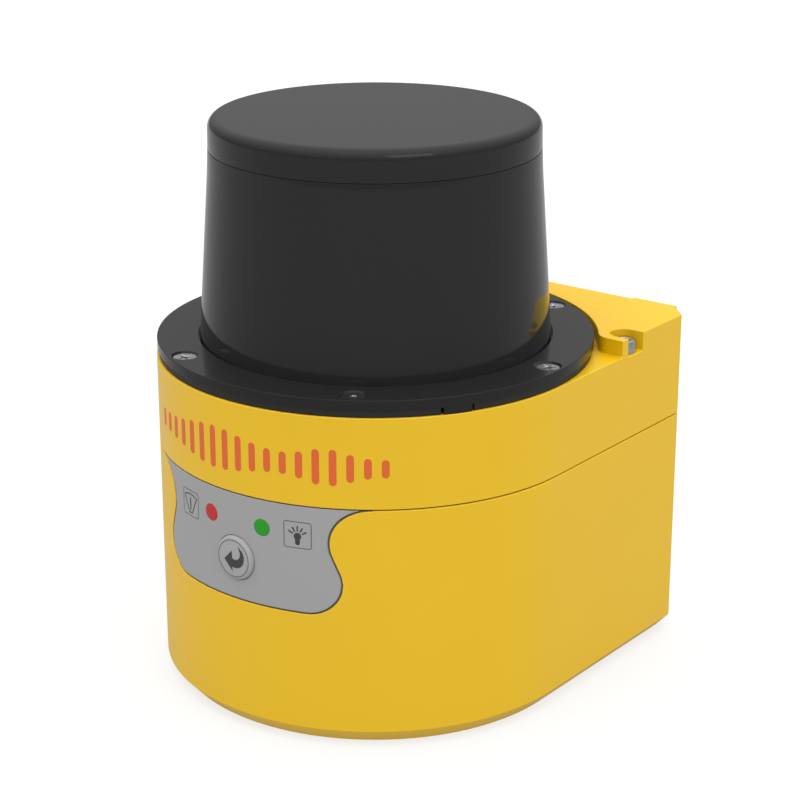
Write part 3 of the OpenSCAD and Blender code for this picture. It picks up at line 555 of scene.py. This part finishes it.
def turned(bm, outline, sides, rounds=None, closed=True):
    """Spins a profile of (radius, height) points round the Z axis; rounds gives some corners a radius."""
    points = [bm.verts.new((r, 0, z)) for r, z in outline]
    pairs = list(zip(points, points[1:] + points[:1])) if closed else list(zip(points, points[1:]))
    wire = [bm.edges.new(pair) for pair in pairs]
    for index, radius in (rounds or {}).items():
        bmesh.ops.bevel(bm, geom=[points[index]], offset=radius, offset_type="OFFSET", affect="VERTICES",
                        segments=12 if radius > 1 else 4, profile=0.5, material=-1)
    wire = [e for e in bm.edges if not e.link_faces]
    verts = list({v for e in wire for v in e.verts})
    bmesh.ops.spin(bm, geom=verts + wire, cent=(0, 0, 0), axis=(0, 0, 1), dvec=(0, 0, 0),
                   angle=2 * math.pi, steps=sides, use_merge=True)
    bmesh.ops.remove_doubles(bm, verts=bm.verts, dist=0.001)


def turn_about(bm, axis, angle):
    """Turns everything drawn so far round an axis through the origin, by an angle in radians."""
    bmesh.ops.rotate(bm, cent=(0, 0, 0), matrix=Matrix.Rotation(angle, 3, axis), verts=bm.verts)


def laid_along(bm, tip, place):
    """Tips a piece drawn up the Z axis by an angle in degrees round X, then puts it in its place."""
    turn_about(bm, "X", math.radians(tip))
    bmesh.ops.translate(bm, vec=place, verts=bm.verts)


def refined(node, name, width, segments=2, convex=False):
    """A copy of a CAD node with its flat faces rejoined and its edges rounded a little."""
    bm = bmesh.new()
    bm.from_mesh(frame["nodes"][node].data)
    bmesh.ops.scale(bm, vec=(1 / MM, 1 / MM, 1 / MM), verts=bm.verts)
    bmesh.ops.remove_doubles(bm, verts=bm.verts, dist=0.002)
    bmesh.ops.dissolve_limit(bm, angle_limit=math.radians(0.4), verts=bm.verts, edges=bm.edges)
    if convex:
        bmesh.ops.connect_verts_concave(bm, faces=bm.faces)
    piece = finish_piece(bm, name, node, recalc=False)
    rounding = piece.modifiers.new("edge_rounding", "BEVEL")
    rounding.width = width * MM
    rounding.segments = segments
    rounding.limit_method = "ANGLE"
    rounding.angle_limit = math.radians(BEVEL_DEGREES)
    rounding.use_clamp_overlap = False
    rounding.miter_outer = "MITER_ARC"
    flats = piece.modifiers.new("flat_face_normals", "WEIGHTED_NORMAL")
    flats.keep_sharp = True
    flats.weight = FLAT_FACE_WEIGHT


# %% [markdown]
# ## Housing shells
# The two shells are castings that meet in a groove. Their shape is right in CAD, but every edge
# there is razor sharp. A copy is merged, its flat faces are rejoined, and a bevel modifier gives the
# edges the sixth of a millimetre of softness that a die and a coat of powder leave. One wall of the
# lower shell has the connector bay cut through it. A face that wraps round an opening can be filled
# straight across it when its edges move, so that shell's faces are first cut into convex ones.

# %% Housing shells
SHELL_ROUND = 0.16
RING_ROUND = 0.12
FILM_ROUND = 0.1
VENT_ROUND = 0.3
refined("lower_housing", "lower_shell", SHELL_ROUND, convex=True)
refined("upper_housing", "upper_shell", SHELL_ROUND)
refined("window_ring", "clamp_ring", RING_ROUND)
refined("front_panel", "panel_film", FILM_ROUND)
refined("vent_plug", "vent_membrane_plug", VENT_ROUND, segments=3)

# %% [markdown]
# ## Window and cap
# The window is a slim cone with a flange under the ring, and the cap closes it with a rounded edge.
# Gloss shows every facet, so both are spun again from their profile with many more steps than the
# CAD mesh has. The hairline between them is a real groove.

# %% Window and cap
GLOSS_SIDES = 256
WINDOW_WALL = 2.0
CAP_ROUND = 2.5
CAP_GROOVE = 0.12
NECK_BELOW_TOP = 4.9
window_levels = {}
for vertex in frame["nodes"]["optics_window"].data.vertices:
    level = round(vertex.co.z / MM, 1)
    window_levels.setdefault(level, []).append(math.hypot(vertex.co.x, vertex.co.y) / MM)
foot_z, flange_z = sorted(window_levels)[:2]
window_top = max(window_levels)
neck_z = round(window_top - NECK_BELOW_TOP, 1)
window_outline = [
    (min(window_levels[foot_z]), foot_z), (max(window_levels[foot_z]), foot_z),
    (max(window_levels[flange_z]), flange_z), (min(window_levels[flange_z]), flange_z),
    (max(window_levels[neck_z]), neck_z), (max(window_levels[window_top]), window_top),
    (min(window_levels[window_top]), window_top), (min(window_levels[neck_z]), neck_z),
]
window_bm = bmesh.new()
turned(window_bm, window_outline, GLOSS_SIDES, {4: 0.9, 5: 0.08})
finish_piece(window_bm, "infrared_window", "optics_window")

cap_low, cap_high = span("window_cap")
edge_r = max(window_levels[window_top])
spigot_r = edge_r - WINDOW_WALL - 0.1
cap_outline = [
    (0, cap_high.z - WINDOW_WALL), (spigot_r - 1.2, cap_high.z - WINDOW_WALL), (spigot_r - 1.2, cap_low.z),
    (spigot_r, cap_low.z), (spigot_r, window_top), (edge_r - 0.5, window_top),
    (edge_r - 0.5, window_top + CAP_GROOVE), (cap_high.x - 0.01, window_top + CAP_GROOVE),
    (cap_high.x - 0.13, cap_high.z), (0, cap_high.z),
]
cap_bm = bmesh.new()
turned(cap_bm, cap_outline, GLOSS_SIDES, {7: 0.08, 8: CAP_ROUND}, closed=False)
finish_piece(cap_bm, "window_cap_dome", "window_cap")

# %% [markdown]
# ## Screws
# A socket screw is a turned head with a six-sided pocket in it. The head is a stack of circles
# bridged from one to the next. The pocket's rim is a circle too, with its points drawn in to six
# flats. So it has as many points as the circle round it, and one bridge joins the two cleanly.

# %% Screws
SCREW_SIDES = 48
SOCKET_LEAD_IN = 0.14
DRILL_TIP = 0.35
SCREW_TIP = 0.3


def hexagon_at(bm, corner_r, height, most=math.inf):
    """A circle whose points are drawn in to six flats, and no further out than most."""
    ring = circle_at(bm, corner_r, height, SCREW_SIDES)
    for vert in ring:
        off_flat = math.degrees(math.atan2(vert.co.y, vert.co.x)) % 60 - 30
        drawn_in = corner_r * math.cos(math.radians(30)) / math.cos(math.radians(off_flat))
        vert.co = vert.co.xy.normalized().to_3d() * min(drawn_in, most) + Vector((0, 0, height))
    return ring


def bridge(bm, first, second):
    """Joins two rings with a band of faces."""
    bmesh.ops.bridge_loops(bm, edges=edge_loop(first) + edge_loop(second))


def socket_screw(bm, profile, socket_r, socket_depth):
    """A screw on the Z axis: profile runs from the rim of its top face down to its tip."""
    circles = [circle_at(bm, r, z, SCREW_SIDES) for r, z in profile]
    for above, below in zip(circles, circles[1:]):
        bridge(bm, above, below)
    top = profile[0][1]
    lead_in = circle_at(bm, socket_r + SOCKET_LEAD_IN, top, SCREW_SIDES)
    rim = hexagon_at(bm, socket_r, top - SOCKET_LEAD_IN)
    bottom = hexagon_at(bm, socket_r, top - socket_depth)
    drill = circle_at(bm, socket_r * 0.75, top - socket_depth - 0.02, SCREW_SIDES)
    for above, below in ((circles[0], lead_in), (lead_in, rim), (rim, bottom), (bottom, drill)):
        bridge(bm, above, below)
    for loop, drop in ((drill, DRILL_TIP), (circles[-1], SCREW_TIP)):
        tip = bmesh.ops.extrude_edge_only(bm, edges=edge_loop(loop))
        points = [g for g in tip["geom"] if isinstance(g, bmesh.types.BMVert)]
        bmesh.ops.pointmerge(bm, verts=points, merge_co=(0, 0, points[0].co.z - drop))


CSK_HEAD_R = 2.72
HEAD_SUNK = 0.25
M3_R = 1.45
RING_SOCKET_R, RING_SOCKET_DEPTH = 0.72, 0.7
RING_SCREW_TURN = 0.7
for number, (low, high) in enumerate(solids("ring_screws"), 1):
    screw_bm = bmesh.new()
    top = high.z - HEAD_SUNK
    socket_screw(screw_bm, [
        (CSK_HEAD_R - 0.12, top), (CSK_HEAD_R, top - 0.1), (CSK_HEAD_R, top - 0.22), (M3_R, top - 1.35),
        (M3_R, low.z + 0.5), (M3_R - 0.4, low.z),
    ], RING_SOCKET_R, RING_SOCKET_DEPTH)
    centre = (low + high) / 2
    turn_about(screw_bm, "Z", RING_SCREW_TURN * number)
    bmesh.ops.translate(screw_bm, vec=(centre.x, centre.y, 0), verts=screw_bm.verts)
    finish_piece(screw_bm, f"ring_screw_{number}", "ring_screws")

CAP_HEAD_R = 2.75
CAP_HEAD_H = 3.0
POCKET_SOCKET_R, POCKET_SOCKET_DEPTH = 1.45, 1.4
for number, (low, high) in enumerate(solids("housing_screws"), 1):
    screw_bm = bmesh.new()
    top, under = high.z, high.z - CAP_HEAD_H
    socket_screw(screw_bm, [
        (CAP_HEAD_R - 0.32, top), (CAP_HEAD_R - 0.09, top - 0.09), (CAP_HEAD_R, top - 0.32),
        (CAP_HEAD_R, under + 0.15), (CAP_HEAD_R - 0.15, under), (M3_R, under),
        (M3_R, low.z + 0.5), (M3_R - 0.4, low.z),
    ], POCKET_SOCKET_R, POCKET_SOCKET_DEPTH)
    centre = (low + high) / 2
    bmesh.ops.translate(screw_bm, vec=(centre.x, centre.y, 0), verts=screw_bm.verts)
    finish_piece(screw_bm, f"pocket_screw_{number}", "housing_screws")

# %% [markdown]
# ## Threaded inserts
# Steel inserts are pressed into the castings, so that the scanner can be bolted down again and
# again. Each is a turned sleeve with a thread inside. A thread is a small wedge that climbs as it
# goes round, which is a spin whose every step also moves it up a little.

# %% Threads and inserts
THREAD_STEPS = 36
ROOT_SHARE, CREST_SHARE = 0.46, 0.06
M5_R = 2.5
M5_PITCH = 0.8


def climb_round(bm, root_r, crest_r, pitch, bottom, top):
    """A closed thread wedge round the Z axis; it stands inwards where the crest is the smaller radius."""
    half = pitch / 2
    wedge = [(root_r, -ROOT_SHARE * half), (crest_r, -CREST_SHARE * half),
             (crest_r, CREST_SHARE * half), (root_r, ROOT_SHARE * half)]
    first = [bm.verts.new((r, 0, bottom + half + z)) for r, z in wedge]
    wire = [bm.edges.new(pair) for pair in zip(first, first[1:] + first[:1])]
    turns = (top - bottom - pitch) / pitch
    steps = max(1, round(turns * THREAD_STEPS))
    made = bmesh.ops.spin(bm, geom=first + wire, cent=(0, 0, 0), axis=(0, 0, 1),
                          dvec=(0, 0, pitch / THREAD_STEPS), angle=2 * math.pi * steps / THREAD_STEPS,
                          steps=steps, use_merge=False)
    last = [g for g in made["geom_last"] if isinstance(g, bmesh.types.BMEdge)]
    bmesh.ops.holes_fill(bm, edges=wire + last, sides=4)


for number, (low, high) in enumerate(solids("threaded_inserts"), 1):
    insert_bm = bmesh.new()
    outer_r = (high.x - low.x) / 2
    faces_back = high.y > BACK_Y - 0.5
    length = high.y - low.y if faces_back else high.z - low.z
    turned(insert_bm, [
        (M5_R, 0.0), (outer_r, 0.0), (outer_r, length), (M5_R + 0.25, length), (M5_R, length - 0.3),
    ], SCREW_SIDES, {2: 0.12})
    climb_round(insert_bm, M5_R + 0.05, M5_R - 0.4, M5_PITCH, 0.1, length - 0.35)
    centre = (low + high) / 2
    if faces_back:
        laid_along(insert_bm, -90, (centre.x, low.y, centre.z))
    else:
        laid_along(insert_bm, 180, (centre.x, centre.y, high.z))
    finish_piece(insert_bm, f"threaded_insert_{number}", "threaded_inserts")

# %% [markdown]
# ## Round plug connectors
# The two sockets in the bay are nickel-plated barrels with a coarse outside thread for the cable's
# nut. A six-sided collar seats each one on the wall, and inside sits a black insert with a key
# slot and gold pins with rounded tips. Each material is its own piece.

# %% Connectors
BARREL_R = 5.98
BARREL_BORE = 4.6
PLUG_PITCH = 1.0
PIN_CIRCLE = 2.2
PIN_R = 0.5
CORNER_CHAMFER = 0.45


def connector_shell(bm, levels, collar_r):
    """The barrel with its thread and six-sided collar, up the Z axis."""
    tail, wall_in, wall_out, collar_top, insert_face, _, mouth = levels
    turned(bm, [
        (0, tail), (BARREL_R - 1, tail), (BARREL_R - 1, wall_in), (BARREL_R, wall_in), (BARREL_R, wall_out),
        (BARREL_R - 0.6, wall_out), (BARREL_R - 0.6, mouth), (BARREL_BORE, mouth), (BARREL_BORE, insert_face),
        (0, insert_face),
    ], SCREW_SIDES * 2, {6: 0.3, 7: 0.25}, closed=False)
    climb_round(bm, BARREL_R - 0.75, BARREL_R, PLUG_PITCH, collar_top + 0.3, mouth - 0.2)
    collar = [
        circle_at(bm, BARREL_R - 0.7, wall_out, SCREW_SIDES), hexagon_at(bm, collar_r, wall_out),
        hexagon_at(bm, collar_r, collar_top - CORNER_CHAMFER / 2),
        hexagon_at(bm, collar_r, collar_top, collar_r - CORNER_CHAMFER),
        circle_at(bm, BARREL_R - 0.7, collar_top, SCREW_SIDES),
    ]
    for below, above in zip(collar, collar[1:] + collar[:1]):
        bridge(bm, below, above)


def connector_insert(bm, levels):
    """The black insert, with a low collar round each pin and a key rib up the bore."""
    insert_face, pin_end = levels[4:6]
    turned(bm, [(0, insert_face), (BARREL_BORE, insert_face), (BARREL_BORE, insert_face + 0.4),
                (0, insert_face + 0.4)], SCREW_SIDES, {2: 0.1}, closed=False)
    rib = bmesh.ops.create_cube(bm, size=1)["verts"]
    bmesh.ops.scale(bm, vec=(1.1, 0.9, pin_end - insert_face), verts=rib)
    bmesh.ops.translate(bm, vec=(0, BARREL_BORE - 0.4, (insert_face + pin_end) / 2), verts=rib)
    bmesh.ops.bevel(bm, geom=edge_loop(rib), offset=0.15, affect="EDGES", segments=2, profile=0.5,
                    material=-1)


def round_pins(bm, bottom, top, radius, rounding):
    """Four upright round pins on the pin circle."""
    for turn in (45, 135, 225, 315):
        pin = bmesh.new()
        turned(pin, [(0, bottom), (radius, bottom), (radius, top), (0, top)], 24, {2: rounding}, closed=False)
        where = Vector((math.cos(math.radians(turn)), math.sin(math.radians(turn)), 0)) * PIN_CIRCLE
        bmesh.ops.translate(pin, vec=where, verts=pin.verts)
        drawn = bpy.data.meshes.new("pin")
        pin.to_mesh(drawn)
        pin.free()
        bm.from_mesh(drawn)
        bpy.data.meshes.remove(drawn)


for name, node in (("power", "power_connector"), ("data", "data_connector")):
    low, high = span(node)
    place = ((low.x + high.x) / 2, 0, (low.z + high.z) / 2)
    levels = sorted({round(v.co.y / MM, 2) for v in frame["nodes"][node].data.vertices})
    insert_face, pin_end = levels[4:6]
    shell_bm, black_bm, pins_bm = bmesh.new(), bmesh.new(), bmesh.new()
    connector_shell(shell_bm, levels, (high.x - low.x) / 2)
    connector_insert(black_bm, levels)
    round_pins(black_bm, insert_face + 0.2, insert_face + 0.75, 0.95, 0.15)
    round_pins(pins_bm, insert_face + 0.2, pin_end, PIN_R, 0.3)
    for piece_bm, part, look in (
        (shell_bm, "shell", nickel), (black_bm, "insert", black_plastic), (pins_bm, "pins", gold),
    ):
        laid_along(piece_bm, -90, place)
        finish_piece(piece_bm, f"{name}_plug_{part}", node, look)

# %% [markdown]
# ## Flat artwork on a round front
# Print is drawn flat, with x along the surface and z up, as thin plates of ink. Then each plate is
# cut into narrow strips and bent round the front, so that it hugs the curve. It stands a few
# hundredths of a millimetre proud, as screen-printed ink does.

# %% Artwork helpers
INK_SINK = 0.06
INK_PROUD = 0.02


def plate(bm, points, line=None):
    """A thin plate of ink with an outline in x and z; with a line width, only its border is kept."""
    face = bm.faces.new([bm.verts.new((x, INK_SINK, z)) for x, z in points])
    faces = [face]
    if line:
        face.normal_update()
        faces = bmesh.ops.inset_region(bm, faces=[face], thickness=line, use_boundary=True,
                                       use_even_offset=True)["faces"]
        bmesh.ops.delete(bm, geom=[face], context="FACES_ONLY")
    raised = bmesh.ops.extrude_face_region(bm, geom=faces)
    verts = [g for g in raised["geom"] if isinstance(g, bmesh.types.BMVert)]
    bmesh.ops.translate(bm, vec=(0, -INK_SINK - INK_PROUD, 0), verts=verts)


def arc_points(centre, radius, start, end, steps):
    """Points along an arc, in degrees, from start to end."""
    turns = [math.radians(start + (end - start) * i / steps) for i in range(steps + 1)]
    return [(centre[0] + radius * math.cos(t), centre[1] + radius * math.sin(t)) for t in turns]


def rounded_box(centre, width, height, radius, steps=5):
    """Outline of a box with round corners, counter-clockwise."""
    x, z = width / 2 - radius, height / 2 - radius
    corners = [(x, z, 0), (-x, z, 90), (-x, -z, 180), (x, -z, 270)]
    return [p for cx, cz, turn in corners
            for p in arc_points((centre[0] + cx, centre[1] + cz), radius, turn, turn + 90, steps)]


def stroke(bm, start, end, width):
    """A straight stroke of ink with round ends."""
    along = Vector((end[0] - start[0], end[1] - start[1]))
    lean = math.degrees(math.atan2(along.y, along.x))
    far_end = arc_points(end, width / 2, lean - 90, lean + 90, 6)
    near_end = arc_points(start, width / 2, lean + 90, lean + 270, 6)
    plate(bm, far_end + near_end)


def bend_round(bm, radius, strip=0.8):
    """Cuts flat artwork into strips and bends it round the upright axis."""
    reach = max(abs(v.co.x) for v in bm.verts)
    for i in range(-int(reach / strip), int(reach / strip) + 1):
        everything = bm.verts[:] + bm.edges[:] + bm.faces[:]
        bmesh.ops.bisect_plane(bm, geom=everything, plane_co=(i * strip, 0, 0), plane_no=(1, 0, 0),
                               dist=0.0005)
    for vert in bm.verts:
        turn, out = vert.co.x / radius, radius - vert.co.y
        vert.co = (out * math.sin(turn), -out * math.cos(turn), vert.co.z)


# %% [markdown]
# ### Orange mark
# A maker would print a name across the front. Here a neutral mark takes its place: a row of upright
# bars whose heights rise and die away like two returning light pulses, a strong one and its echo.
# Each pulse is a rise, the place of its peak along the row, and how far it spreads.

# %% Orange mark
MARK_LOW, MARK_HIGH = 61.7, 71.6
MARK_LEFT, MARK_RIGHT = -30.0, 36.6
BAR_COUNT = 18
BAR_WIDTH = 1.7
LOWEST_BAR = 0.42
PULSES = ((0.58, 0.36, 0.19), (0.45, 0.80, 0.10))
mark_bm = bmesh.new()
mark_mid = (MARK_LOW + MARK_HIGH) / 2
for bar in range(BAR_COUNT):
    share = bar / (BAR_COUNT - 1)
    pulse = LOWEST_BAR
    for rise, peak, spread in PULSES:
        pulse += rise * math.exp(-((share - peak) / spread) ** 2)
    half = min(1.0, pulse) * (MARK_HIGH - MARK_LOW) / 2 - BAR_WIDTH / 2
    x = MARK_LEFT + BAR_WIDTH / 2 + share * (MARK_RIGHT - MARK_LEFT - BAR_WIDTH)
    stroke(mark_bm, (x, mark_mid - half), (x, mark_mid + half), BAR_WIDTH)
bend_round(mark_bm, FRONT_R, 1.6)
finish_piece(mark_bm, "pulse_mark", "upper_housing", orange_ink, replaced=False)

# %% [markdown]
# ### Panel symbols
# Two small boxed signs stand beside the lights: a lamp with rays, and a fan-shaped window. Each
# frame is a rounded box whose inside is cut away with an inset, and rays are short strokes.

# %% Panel symbols
SIGN_X = {"lamp": 16.15, "window": -15.45}
SIGN_Z = 50.25
SIGN_W, SIGN_H = 6.6, 6.3
frames_bm = bmesh.new()
for sign_x in SIGN_X.values():
    plate(frames_bm, rounded_box((sign_x, SIGN_Z), SIGN_W, SIGN_H, 0.7), line=0.2)
bend_round(frames_bm, FRONT_R)
finish_piece(frames_bm, "sign_frames", "front_panel", line_ink, replaced=False)

lamp_bm = bmesh.new()
bulb = (SIGN_X["lamp"], SIGN_Z - 0.35)
socket_end = (bulb[0], bulb[1] - 1.5)
plate(lamp_bm, arc_points(bulb, 0.88, -50, 230, 22) + arc_points(socket_end, 0.56, 180, 360, 10))
for lean in (30, 60, 90, 120, 150):
    ray = Vector((math.cos(math.radians(lean)), math.sin(math.radians(lean))))
    stroke(lamp_bm, Vector(bulb) + ray * 1.35, Vector(bulb) + ray * 2.3, 0.34)
bend_round(lamp_bm, FRONT_R)
finish_piece(lamp_bm, "lamp_sign", "front_panel", dark_ink, replaced=False)

fan_bm = bmesh.new()
fan_x = SIGN_X["window"]
fan_top = arc_points((fan_x, SIGN_Z - 3.4), 5.7, 118, 62, 12)
plate(fan_bm, [(fan_x - 0.7, SIGN_Z - 2.4)] + fan_top + [(fan_x + 0.7, SIGN_Z - 2.4)], line=0.26)
stroke(fan_bm, (fan_x, SIGN_Z - 1.5), (fan_x, SIGN_Z + 1.2), 0.4)
bend_round(fan_bm, FRONT_R)
finish_piece(fan_bm, "window_sign", "front_panel", dark_ink, replaced=False)

# %% [markdown]
# ## Reset button
# The cap is a turned disc with a generous rounded edge, as film takes when it is formed over a cap.
# It is spun upright and then laid to face the front. Its print is a thin ring and a bent arrow, and
# both ride on the button's body, so they go in with it when it is pressed.

# %% Reset button
BUTTON_R = 5.2
BUTTON_ROUND = 0.85
SKIRT_DEPTH = 2.6
COLLAR_R = 2.0
PRINT_LIFT = 0.03
button_front = BUTTON_LOW.y + PRINT_LIFT
button_bm = bmesh.new()
face_y = -button_front
collar_in = -span("reset_button")[1].y
turned(button_bm, [
    (0, face_y), (BUTTON_R, face_y), (BUTTON_R, face_y - SKIRT_DEPTH), (COLLAR_R, face_y - SKIRT_DEPTH),
    (COLLAR_R, collar_in), (0, collar_in),
], 128, {1: BUTTON_ROUND}, closed=False)
laid_along(button_bm, 90, (0, 0, BUTTON_Z))
finish_piece(button_bm, "reset_button_cap", "reset_button")

ring_bm = bmesh.new()
plate(ring_bm, arc_points((0, 0), 4.42, 0, 357.5, 143), line=0.19)
bmesh.ops.translate(ring_bm, vec=(0, BUTTON_LOW.y + INK_PROUD, BUTTON_Z), verts=ring_bm.verts)
finish_piece(ring_bm, "button_ring_print", "reset_button", line_ink, replaced=False)

ARROW_SHIFT = 0.2
ARROW_SCALE = 1.12
arrow_bm = bmesh.new()
arrow = [(-2.55, -0.52), (-0.43, -2.85), (-0.57, -1.92)]
arrow += arc_points((0.16, 0.45), 2.42, -107, 58, 22)
arrow += [(1.15, 2.85)]
arrow += arc_points((0.16, 1.22), 1.42, 32, -118, 18)
arrow += [(-0.60, 1.55)]
plate(arrow_bm, [(ARROW_SHIFT + ARROW_SCALE * x, ARROW_SCALE * z) for x, z in arrow])
bmesh.ops.translate(arrow_bm, vec=(0, BUTTON_LOW.y + INK_PROUD, BUTTON_Z), verts=arrow_bm.verts)
finish_piece(arrow_bm, "button_arrow_print", "reset_button", dark_ink, replaced=False)

# %% [markdown]
# ## Status lights
# Each light is a clear rod that ends in a lens just flush with the film. Only its face shows, so a
# short turned plug with a softly domed face stands for it, turned to the light's own angle.

# %% Status lights
LENS_DOME = 0.06
LENS_CLEARANCE = 0.02
LENS_SEAT_X = 6.5
for name, node in (("red_status_lens", "red_light_guide"), ("green_status_lens", "green_light_guide")):
    low, high = span(node)
    lens_z = (low.z + high.z) / 2
    lens_r = (high.z - low.z) / 2
    aside = max(abs(low.x), abs(high.x)) - lens_r
    lens_turn = math.copysign(math.asin(aside / FRONT_R), low.x + high.x)
    lens_bm = bmesh.new()
    inner = math.hypot(high.y, LENS_SEAT_X)
    rim_r = lens_r - LENS_CLEARANCE
    turned(lens_bm, [
        (0, FRONT_R + LENS_DOME), (lens_r * 0.55, FRONT_R + 0.75 * LENS_DOME),
        (rim_r, FRONT_R - 0.02), (rim_r, inner), (0, inner),
    ], 64, {2: 0.06}, closed=False)
    laid_along(lens_bm, 90, (0, 0, lens_z))
    turn_about(lens_bm, "Z", lens_turn)
    finish_piece(lens_bm, name, node)

# %% [markdown]
# ## Check and finish
# The visual model's box is held against the CAD model's box, and how far each corner is off is printed in
# millimetres.

# %% Finish
visual_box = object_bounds()
for corner, (cad_corner, visual_corner) in enumerate(zip(cad_box, visual_box)):
    print("corner", corner, "off by mm", [round((a - b) / MM, 3) for a, b in zip(visual_corner, cad_corner)])
